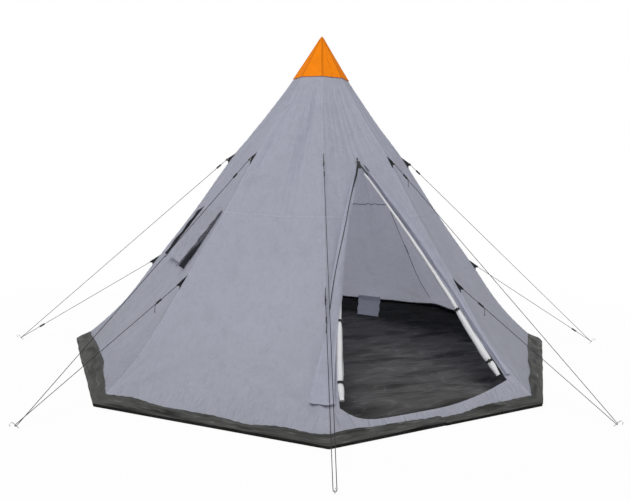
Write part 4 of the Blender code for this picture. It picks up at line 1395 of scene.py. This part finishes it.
HALF_DOOR = (DOOR_HALF_WIDTH, (DOOR_TOP - DOOR_CORNER) * SLANT)
NET_TURNS = 5.0
NET_END = NET_SPAN[1] + 0.015
TOGGLE_TURN = 0.9
LIP_PLACES = (0.05, 0.2, 0.45, 0.6, 0.7, 0.8, 0.985)
LIP_INNER = (-0.012, -0.03, -0.05, -0.068, -0.05, -0.098, -0.188)
LIP_OUTER = (0.004, 0.018, 0.03, 0.03, 0.004, -0.005, -0.033)
LAYER = {"right": 0.0028, "left": 0.0022}
CLOTH_LIFT = 0.003
ZIP_END = 0.66
ZIP_PITCH = 0.003
TAPE_RIBS = np.array([-1.0, -0.9, 0.0, 0.9, 1.0])
TAPE_LIFT = 0.0045


def to_world(points):
    return turned(points, panel_turn(0))


def edge_point(share, side):
    """Point of the doorway's edge, from its peak (0) to the sill's end (1)."""
    height = door_height(share)
    return stacked(apothem(height), side * door_width(share), height)


def edge_frame(share, side):
    """Points of the doorway's edge, with directions along it, out of the wall and into the doorway."""
    share = np.asarray(share, float)
    probe = 0.004
    point = edge_point(share, side)
    along = unit(edge_point(share + probe, side) - edge_point(share - probe, side))
    out, up = wall_normal(point[..., 2])
    outward = stacked(out, 0.0, up)
    outward = unit(outward - along * (outward * along).sum(-1, keepdims=True))
    return point, along, outward, np.cross(along, outward) * side


def roll_radius(share):
    """Radius of the rolled net: tight above the upper tie and full below it."""
    at = TIE_AT["upper"]
    full = NET_RADII[0] + (NET_RADII[1] - NET_RADII[0]) * share
    return full * (0.72 + 0.28 * smooth_step(at - 0.04, at + 0.04, share))


def net_axis(share, side):
    """Middle of the rolled net, tucked behind the doorway's edge."""
    point, along, outward, inward = edge_frame(share, side)
    reach = (roll_radius(share) + TIE_THICKNESS + 2 * SOFT_GAP)[..., None]
    tuck = inward * math.cos(NET_TUCK) - outward * math.sin(NET_TUCK)
    return point - np.array([FABRIC, 0.0, 0.0]) + tuck * reach, along, outward, inward


def round_about(wind, inward, outward):
    """Directions square to a roll, by the angle from the doorway's side towards its front."""
    return np.cos(wind)[..., None] * inward + np.sin(wind)[..., None] * outward


def layered(low, high, passes, step, narrowing=0.0, columns=14):
    """Section of folded cloth, row by row: it swings between two edges as a cosine, every pass lies a
    step above the one before, and the far edge draws in from pass to pass."""
    way = np.linspace(0, 1, passes * columns + 1)
    swing = (0.5 - 0.5 * np.cos(math.pi * passes * way)) * (1 - narrowing * way)
    return low + (high - low) * swing, step * passes * way, way


def eased(share, places, values):
    """Values between given places down the doorway, with their corners rounded off."""
    line = np.interp(share, places, values)
    return np.convolve(np.pad(line, 4, mode="edge"), np.ones(9) / 9, mode="valid")


def round_front_ridge(away, height, raised):
    """Place on the wall by the distance from the ridge left of the doorway: above 0 on the door panel."""
    half = half_panel(height)
    right = on_wall(0, away - half, height, raised)
    left = on_wall(SIDES - 1, half + away, height, raised)
    return np.where((away > 0)[..., None], right, left)


def beside_door(share):
    """Width of the wall between the doorway's edge and the ridge."""
    return half_panel(door_height(share)) - door_width(share)


def lip_edges(share):
    """Distances of the left half door's two edges from the front ridge, down from the doorway's peak."""
    strip = beside_door(share)
    return strip + eased(share, LIP_PLACES, LIP_INNER), strip + eased(share, LIP_PLACES, LIP_OUTER)


def lip_swell(share, across):
    """How far the left half door swells out between its edges above the tie: half a sine wave."""
    return 0.016 * smooth_step(0.1, 0.3, share) * fade(0.6, 0.7, share) * half_wave(across)


class TENT_OT_door(bpy.types.Operator):
    """Tie back the door halves and roll up the net, with ties and zip"""

    bl_idname = "tent.door"
    bl_label = "Door"

    def execute(self, context):
        for side, word in ((1, "right"), (-1, "left")):
            self.net(side, word)
            for level, share in TIE_AT.items():
                self.tie(f"door_tie_{word}_{level}", share, side)
            self.flap(word)
        self.zip_tape()
        self.slider()
        return {"FINISHED"}

    def net(self, side, word):
        """Rolled net: a spiral section that is carried down the doorway's edge, drawn in at its ties and
        ending in a tuft below the last one."""
        share = np.linspace(NET_SPAN[0], NET_END, 110)
        centre, _, outward, inward = (value[:, None] for value in net_axis(share, side))
        pinch = sum(bump(at, 0.016, share) for at in TIE_AT.values())
        loose = smooth_step(TIE_AT["lower"] + 0.01, NET_END, share)
        radius = roll_radius(share) * (1.02 - 0.16 * pinch - 0.42 * loose)
        share = share[:, None]
        wind = np.linspace(0, 2 * math.pi * NET_TURNS, 141)
        ragged = 0.05 * np.sin(2.3 * wind + 31 * share * side) + 0.05 * np.sin(wind + 67 * share)
        spiral = radius[:, None] * (0.3 + 0.7 * wind / wind[-1]) * (1 + ragged)
        wind = wind + 0.9 * np.sin(9 * share)
        points = centre + spiral[..., None] * round_about(wind, inward, outward)
        patch = (to_world(points), stacked(np.linspace(0, 0.6, 141), share * HALF_DOOR[1]))
        roll = new_piece(f"net_roll_{word}", "net", [patch], "tent", "net", f"net_{word}", sharp=80)

    def tie(self, name, share, side):
        """Webbing strap wound once and a bit round the roll, with a toggle in front of it."""
        centre, along, outward, inward = net_axis(np.array(share), side)
        wind = np.linspace(-0.3, 2 * math.pi + 0.5, 61)
        radius = roll_radius(share) * 0.93 + SOFT_GAP + 0.0016 * smooth_step(0, 2 * math.pi, wind)
        lip = TIE_WIDTH / 2 * np.array([-1.0, -0.8, 0.0, 0.8, 1.0])[:, None]
        points = centre + round_about(wind, inward, outward) * radius[:, None] + along * lip[..., None]
        patch = (to_world(points), stacked(wind * 0.02, lip))
        new_piece(name + "_strap", "tie", [patch], "tent", "tie", name, thickness=0.0013, offset=1.0)
        front = centre + round_about(np.array(TOGGLE_TURN), inward, outward) * (radius.max() + 0.0045)
        lengthwise = np.linspace(-1, 1, 13)
        body = 0.0036 * (1 - 0.25 * bump(0, 0.3, lengthwise)) * np.sqrt(np.clip(1.02 - lengthwise**6, 0, 1))
        points, uv = tube(front + along * (lengthwise * 0.014)[:, None], body, outward, 12)
        new_piece(name + "_toggle", "runner", [(to_world(points), uv)], "tent", "tie", closed=True)

    def right_half(self, share):
        """Narrowing layers that lie outside the doorway's right edge."""
        edge = door_width(share)
        height = door_height(share)
        width = np.minimum(np.minimum(0.012 + 0.5 * edge, 0.085), beside_door(share) - 0.028)
        width = width * (1 - 0.2 * bump(TIE_AT["upper"], 0.04, share))
        low = edge + 0.005 + 0.002 * np.sin(23 * share)
        away, raised, way = layered(low, low + width, 7, LAYER["right"], 0.62)
        raised = CLOTH_LIFT + raised + 0.0016 * ripple(61, 0.2 * away, height, (0.06, 0.25), 6) * way
        away = away + 0.0022 * np.sin(31 * share + 9 * way) * way
        return on_wall(0, away, height, raised), way

    def left_half(self, share):
        """Lip over the doorway's left edge, drawn in by the tie, that spreads below it round the ridge."""
        low, high = (edge[:, None] for edge in lip_edges(share[:, 0]))
        height = door_height(share)
        skirt = smooth_step(TIE_AT["upper"], 0.85, share)
        away, raised, way = layered(low, high, 5, LAYER["left"] + 0.0018 * skirt)
        past = np.clip(away - beside_door(share) - 0.01, 0, None)
        across = (away - low) / (high - low)
        fold = 0.5 + 0.5 * np.cos(2 * math.pi * (2.1 * across - 0.4 * share + 0.1))
        loose = 0.012 * fold * skirt + 0.0032 * ripple(62, away, height, (0.045, 0.2), 8)
        loose = loose + lip_swell(share, across)
        raised = CLOTH_LIFT + raised + loose * (0.3 + 0.7 * way) - 13.8 * past**2
        return round_front_ridge(away, height - 0.008 * skirt**3 * (0.5 * fold + way), raised), way

    def flap(self, word):
        """Half door, folded in flat layers that lie one on the other."""
        share = column(*FLAP_SPAN, 110)
        points, way = self.right_half(share) if word == "right" else self.left_half(share)
        patch = (points, stacked(way * door_width(share), share * HALF_DOOR[1]))
        name, node = f"door_half_{word}", f"door_flap_{word}"
        flap = new_piece(name, "flap", [patch], "tent", "canopy", node, sharp=80)

    def zip_line(self, share):
        """Way of the zip down the left half's lip: its distance from the ridge, its height and its lift."""
        drawn = 0.013 * smooth_step(0.03, 0.25, share) + 0.042 * smooth_step(0.25, 0.68, share)
        away = beside_door(share) - drawn
        low, high = lip_edges(share)
        raised = 0.006 + 0.0145 * smooth_step(0.02, 0.07, share)
        return away, door_height(share), raised + lip_swell(share, (away - low) / (high - low))

    def zip_tape(self):
        """Zip tapes: a long one on the left half's lip, with a toothed coil whose radius rises and falls
        with every tooth, two short ones at the right, and the cover over the zip's upper end."""
        share = np.linspace(0.0, ZIP_END, 90)
        away, height, raised = (value[:, None] for value in self.zip_line(share))
        share = share[:, None]
        wide = TAPE_RIBS * (0.0026 + 0.0062 * fade(0.02, 0.2, share))
        patches = [(round_front_ridge(away + wide, height, raised), stacked(wide, share * HALF_DOOR[1]))]
        teeth = int(ZIP_END * HALF_DOOR[1] / ZIP_PITCH) * 4
        away, height, raised = self.zip_line(np.linspace(0.01, ZIP_END, teeth))
        radius = 0.0013 + 0.0006 * np.sin(math.pi / 2 * np.arange(teeth))
        patches.append(tube(round_front_ridge(away, height, raised + 0.0016), radius, UP, 8))
        for first, last, offset, half in ((0.004, 0.06, 0.001, 0.0055), (0.012, 0.066, 0.032, 0.005)):
            share = column(first, last, 20)
            tape = on_wall(0, door_width(share) + offset + TAPE_RIBS * half, door_height(share), TAPE_LIFT)
            patches.append((tape, stacked(TAPE_RIBS * half, share * HALF_DOOR[1])))
        down = column(-1, 1, 13)
        across = np.linspace(-1, 1, 13)
        half = 0.0145 * (1 - 0.3 * smooth_step(-1, 1, down))
        level = TAPE_LIFT + 0.006 * (1 - across**2) * (1 - 0.5 * down**2)
        cover = on_wall(0, across * half, DOOR_TOP - 0.016 - 0.026 * down, level)
        patches.append((cover, stacked(across * 0.015, down * 0.026)))
        new_piece("door_zip_tapes", "zip", patches, "tent", "slider", sharp=60)

    def slider(self):
        """Zip slider and pull: two rounded lozenges one below the other, each a flattened ball whose width
        follows the way along it."""
        height = DOOR_TOP + 0.022
        out, up = wall_normal(height)
        normal = np.array([out, 0.0, up])
        upward = np.array([-up, 0.0, out])
        base = np.array([apothem(height), 0.0, height]) + normal * 0.0038
        turn = np.linspace(0, 2 * math.pi, 25)
        lean = column(-math.pi / 2, math.pi / 2, 17)
        power = 0.55
        reach = rounded(np.cos(lean), power)
        patches = []
        for place, half, thick, wide in ((0.008, 0.0075, 0.0032, 0.0068), (-0.0075, 0.0085, 0.0014, 0.0034)):
            points = base + upward * (place + rounded(np.sin(lean), power) * half)[..., None]
            points = points + ALONG_WALL * (reach * np.cos(turn) * wide)[..., None]
            points = points + normal * (reach * np.sin(turn) * thick)[..., None]
            patches.append((to_world(points), metres(17, 25, 0.02, 0.02)))
        new_piece("door_zip_pull", "slider", patches, "tent", "slider", "door_zip_slider", closed=True)


# Vent, in the frame of the vent panel

VENT_CLOTH = 0.24
VENT_TAPE = 0.0012
VENT_MARGIN = 0.015
VENT_NETTING = 0.0006


def vent_axes():
    """Hinge of the flap, with directions down the flap, out of it, and down the wall."""
    out, up = wall_normal(VENT_HINGE)
    hinge = np.array([apothem(VENT_HINGE), 0.0, VENT_HINGE]) + np.array([out, 0.0, up]) * SOFT_GAP
    lean = math.atan2(up, out) + VENT_PROP
    down = np.array([math.sin(lean), 0.0, -math.cos(lean)])
    return hinge, down, np.array([math.cos(lean), 0.0, math.sin(lean)]), np.array([up, 0.0, -out])


def vent_flap_half(down):
    """Half width of the flap, by the way down it."""
    return VENT_FLAP_HALVES[0] + (VENT_FLAP_HALVES[1] - VENT_FLAP_HALVES[0]) * down / VENT_FLAP_LENGTH


def on_flap(across, down, raised):
    """Points of the flap, by the share of its half width, the way down it and the height above it."""
    hinge, downward, outward, _ = vent_axes()
    place = VENT_OFFSET + across * vent_flap_half(down)
    points = hinge + ALONG_WALL * place[..., None] + downward * down[..., None]
    return turned(points + outward * raised[..., None], panel_turn(VENT_PANEL))


class TENT_OT_vent(bpy.types.Operator):
    """Hang the vent's flap over its netting"""

    bl_idname = "tent.vent"
    bl_label = "Vent"

    def execute(self, context):
        """The flap bulges as half a sine wave down it and a parabola across, with soft and sharp creases."""
        down = column(0, VENT_FLAP_LENGTH, 50)
        across = np.linspace(-1, 1, 50)
        full = half_wave(down / VENT_FLAP_LENGTH) * (1 - across**2)
        folds = ripple(71, across * VENT_CLOTH, down * 1.2, (0.05, 0.2), 9)
        sharp = creases(72, across * VENT_CLOTH, down, (0.06, 0.2), 6) - 0.3
        wrinkle = (0.007 * folds + 0.014 * sharp) * smooth_step(0.02, 0.14, down) * (1 - np.abs(across) ** 6)
        raised = np.maximum(0.0016 + 0.014 * full + wrinkle, 0.0012)
        patch = (on_flap(across, down, raised), stacked(across * VENT_CLOTH, down))
        flap = new_piece("vent_flap_cloth", "flap", [patch], "vent_flap", "canopy", "vent_flap")
        self.trims()
        self.side_shade_fin()
        self.mesh_panel()
        return {"FINISHED"}

    def trims(self):
        """Dark tapes down both sides of the flap, the far one standing up, and a short tie below each."""
        down = column(0.0, VENT_FLAP_LENGTH + 0.004, 44)
        flat = np.linspace(0.925, 1.0, 7)
        shape = 0.0034 + 0.0012 * np.sin(down * 60)
        patches = [(on_flap(flat, down, shape), stacked(flat * VENT_CLOTH, down))]
        stand = np.linspace(0, 1, 6)
        tall = 0.003 + 0.019 * smooth_step(0.0, 0.08, down) * (1 + 0.15 * np.sin(down * 41))
        shape = 0.0014 + tall * stand
        place = -0.985 - 0.02 * stand * np.sin(down * 23)
        patches.append((on_flap(place, down, shape), stacked(shape, down)))
        down = column(VENT_FLAP_LENGTH - 0.012, VENT_FLAP_LENGTH + 0.034, 12)
        for side in (-1, 1):
            across = side * 0.93 + np.linspace(-0.022, 0.022, 5)
            shape = 0.0046 + 0.004 * np.sin(down * 90)
            patches.append((on_flap(across, down, shape), stacked(across * VENT_CLOTH, down)))
        return new_piece(
            "vent_flap_tapes", "tie", patches, "vent_flap", "tie", thickness=VENT_TAPE, offset=1.0
        )

    def side_shade_fin(self):
        """Dark triangle that stands on the wall beside the flap's near edge, a sheet of painted shade for the
        shadowed gap between flap and wall: lines from the wall up to the flap's rest angle, wider as they go
        down."""
        hinge, downward, _, wall = vent_axes()
        down = column(0.03, VENT_FLAP_LENGTH + 0.02, 40)
        tall = 0.15 + 0.85 * smooth_step(0.5, 0.78, down / VENT_FLAP_LENGTH)
        share = np.linspace(0.05, 1.0, 7) * tall
        place = VENT_OFFSET + vent_flap_half(down) + 0.006 + 0.003 * np.sin(down * 37) * share
        heading = wall * (1 - share[..., None]) + downward * share[..., None]
        points = hinge + ALONG_WALL * place[..., None] + heading * down[..., None]
        patch = (turned(points, panel_turn(VENT_PANEL)), stacked(share * 0.04, down))
        new_piece("vent_side_shade_fin", "tie", [patch], "tent", "tie", thickness=VENT_TAPE, offset=1.0)

    def mesh_panel(self):
        """Netting inside the opening, a little slack between its edges."""
        height = column(VENT_FOOT - VENT_MARGIN, VENT_TOP + VENT_MARGIN, 24)
        half = VENT_HALF_TOP + VENT_MARGIN
        across = np.linspace(-half, half, 30)
        tall = np.ptp(height)
        slack = 0.006 * (1 - (across / half) ** 2) * half_wave((height - height[0]) / tall)
        inside = apothem(height) - FABRIC - SOFT_GAP - 0.0006
        points = turned(stacked(inside - slack, VENT_OFFSET + across, height), panel_turn(VENT_PANEL))
        patch = (points, stacked(across, height * SLANT))
        mesh = new_piece(
            "vent_mesh_net",
            "vent_netting",
            [patch],
            "tent",
            "vent_netting",
            "vent_mesh",
            thickness=VENT_NETTING,
        )


REAR_HALF = 0.125
REAR_TOP = 0.06
REAR_BEND = 0.02
REAR_UNDER = 0.009
REAR_ON_FLOOR = 0.70
REAR_SKEW = 0.25
REAR_CLOTH = 0.0012
REAR_CLEAR = 0.0065


class TENT_OT_rear_flap(bpy.types.Operator):
    """Lay the fabric flap at the foot of the rear wall"""

    bl_idname = "tent.rear_flap"
    bl_label = "Rear flap"

    def profile(self, outer):
        """Distance from the pole and height: straight down the wall, round a bend, and in along the floor."""
        fall = stacked(outer, np.linspace(REAR_TOP, REAR_UNDER + REAR_BEND, 14))
        turn = np.linspace(0, math.pi / 2, 8)[1:]
        curve = stacked(outer - REAR_BEND * (1 - np.cos(turn)), REAR_UNDER + REAR_BEND * (1 - np.sin(turn)))
        share = np.linspace(0, 1, 30)[1:]
        lie = stacked(outer - REAR_BEND - (REAR_ON_FLOOR - REAR_BEND) * share, REAR_UNDER)
        return np.concatenate([fall, curve, lie])

    def execute(self, context):
        """Strip that hangs from the wall, bends and lies askew on the floor: rows follow its profile."""
        outer = float(apothem(REAR_TOP)) - FABRIC - SOFT_GAP
        profile = self.profile(outer)
        distance, height = profile[:, :1], profile[:, 1:]
        along = travelled(profile)[:, None]
        across = np.linspace(-REAR_HALF, REAR_HALF, 22)
        wave = np.maximum(0.0035 * ripple(81, across, along, (0.07, 0.2), 6), -0.003)
        wave = wave * smooth_step(0.0, 0.08, along)
        lying = smooth_step(0.08, 0.13, along)
        points = stacked(
            distance - wave * (1 - lying),
            across * (1 + 0.03 * np.sin(along * 17) - 0.15 * along) - REAR_SKEW * (outer - distance),
            height + np.maximum(wave, -0.0015) * lying,
        )
        points = turned(points, panel_turn(REAR_FLAP_PANEL))
        floor = floor_lift(points[..., 0], points[..., 1], context.scene.tent_sizes)
        points[..., 2] = np.maximum(points[..., 2], floor + REAR_CLEAR)
        patch = (points, stacked(across, along))
        flap = new_piece(
            "rear_flap_cloth",
            "pale",
            [patch],
            "tent",
            "canopy",
            "rear_flap",
            thickness=REAR_CLOTH,
            offset=0.0,
        )
        return {"FINISHED"}


class TENT_OT_pole(bpy.types.Operator):
    """Stand the pole's sections between its foot and its tip"""

    bl_idname = "tent.pole"
    bl_label = "Pole"

    def execute(self, context):
        for number in range(1, 5):
            self.section(f"pole_section_{number}", number < 4)
        self.foot()
        self.tip()
        return {"FINISHED"}

    def lathed(self, name, kind, profile, node):
        """Piece that its profile sweeps round the pole's axis."""
        new_piece(name, kind, [spun(profile)], "tent", kind, node, closed=True)

    def section(self, node, spigot):
        """Tube with rounded rims and, except at the top, a drawn-in spigot for the next section."""
        low, high = (corner.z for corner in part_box(node))
        outer, wall, neck, reach = 0.0125, 0.0012, 0.0110, 0.08
        top = high - reach if spigot else high
        profile = [(outer - wall, low), (outer - 0.0004, low), (outer, low + 0.0006)]
        profile += [(outer, low + (top - low) * step / 6) for step in range(1, 6)]
        profile += [(outer, top - 0.0022), (outer - 0.0003, top - 0.0008), (outer - 0.0006, top)]
        if spigot:
            profile += [(neck, top), (neck, high - 0.004), (neck - 0.0008, high)]
            profile += [(neck - wall, high), (neck - wall, top - 0.01)]
        profile += [(outer - wall, top - 0.012), (outer - wall, low)]
        self.lathed(node + "_tube", "pole", profile, node)

    def foot(self):
        """Plastic shoe: a broad base with a rounded rim, a flared skirt and a cup."""
        low, high = (corner.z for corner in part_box("pole_foot"))
        rim = [(0.0, low), (0.029, low), (0.0315, low + 0.0012)]
        rim += [(0.032, low + 0.0028), (0.0305, low + 0.0042)]
        skirt = [(0.026, low + 0.006), (0.022, low + 0.010), (0.019, low + 0.018), (0.0178, low + 0.030)]
        cup = [(0.0182, high - 0.005), (0.0179, high - 0.0008), (0.017, high), (0.0134, high)]
        cup += [(0.0128, high - 0.001), (0.0128, low + 0.0082), (0.0, low + 0.0082)]
        self.lathed("pole_foot_shoe", "pole_end", rim + skirt + cup, "pole_foot")

    def tip(self):
        """Plastic plug with a collar and a dome."""
        low, high = (corner.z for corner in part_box("pole_tip"))
        turn = np.linspace(0, math.pi / 2, 12)
        radius = 0.015
        plug = [(0.0, low), (0.0095, low), (0.0109, low + 0.002), (0.0109, high - radius)]
        dome = stacked(radius * np.cos(turn), high - radius + radius * np.sin(turn))
        self.lathed("pole_tip_dome", "pole_end", np.concatenate([plug, dome]), "pole_tip")


OPERATORS = (
    TENT_OT_stage,
    TENT_OT_guy_lines,
    TENT_OT_canopy,
    TENT_OT_peak_cap,
    TENT_OT_groundsheet,
    TENT_OT_door,
    TENT_OT_vent,
    TENT_OT_rear_flap,
    TENT_OT_pole,
)


class TENT_PT_panel(bpy.types.Panel):
    """Sizes and colours of the tent, and a button for each group of pieces"""

    bl_idname = "TENT_PT_panel"
    bl_label = "Teepee tent"
    bl_space_type = "VIEW_3D"
    bl_region_type = "UI"
    bl_category = "Tent"

    def draw(self, context):
        for group in (context.scene.tent_sizes, context.scene.tent_colours):
            column_of_values = self.layout.column()
            for name in group.__annotations__:
                column_of_values.prop(group, name)
        for operator in OPERATORS:
            self.layout.operator(operator.bl_idname)


CLASSES = (TentSizes, TentColours, *OPERATORS, TENT_PT_panel)


def register():
    for item in CLASSES:
        bpy.utils.register_class(item)
    bpy.types.Scene.tent_sizes = PointerProperty(type=TentSizes)
    bpy.types.Scene.tent_colours = PointerProperty(type=TentColours)


def unregister():
    del bpy.types.Scene.tent_colours
    del bpy.types.Scene.tent_sizes
    for item in reversed(CLASSES):
        bpy.utils.unregister_class(item)


def main():
    register()
    for operator in OPERATORS:
        group, name = operator.bl_idname.split(".")
        getattr(getattr(bpy.ops, group), name)()


if __name__ == "__main__":
    main()
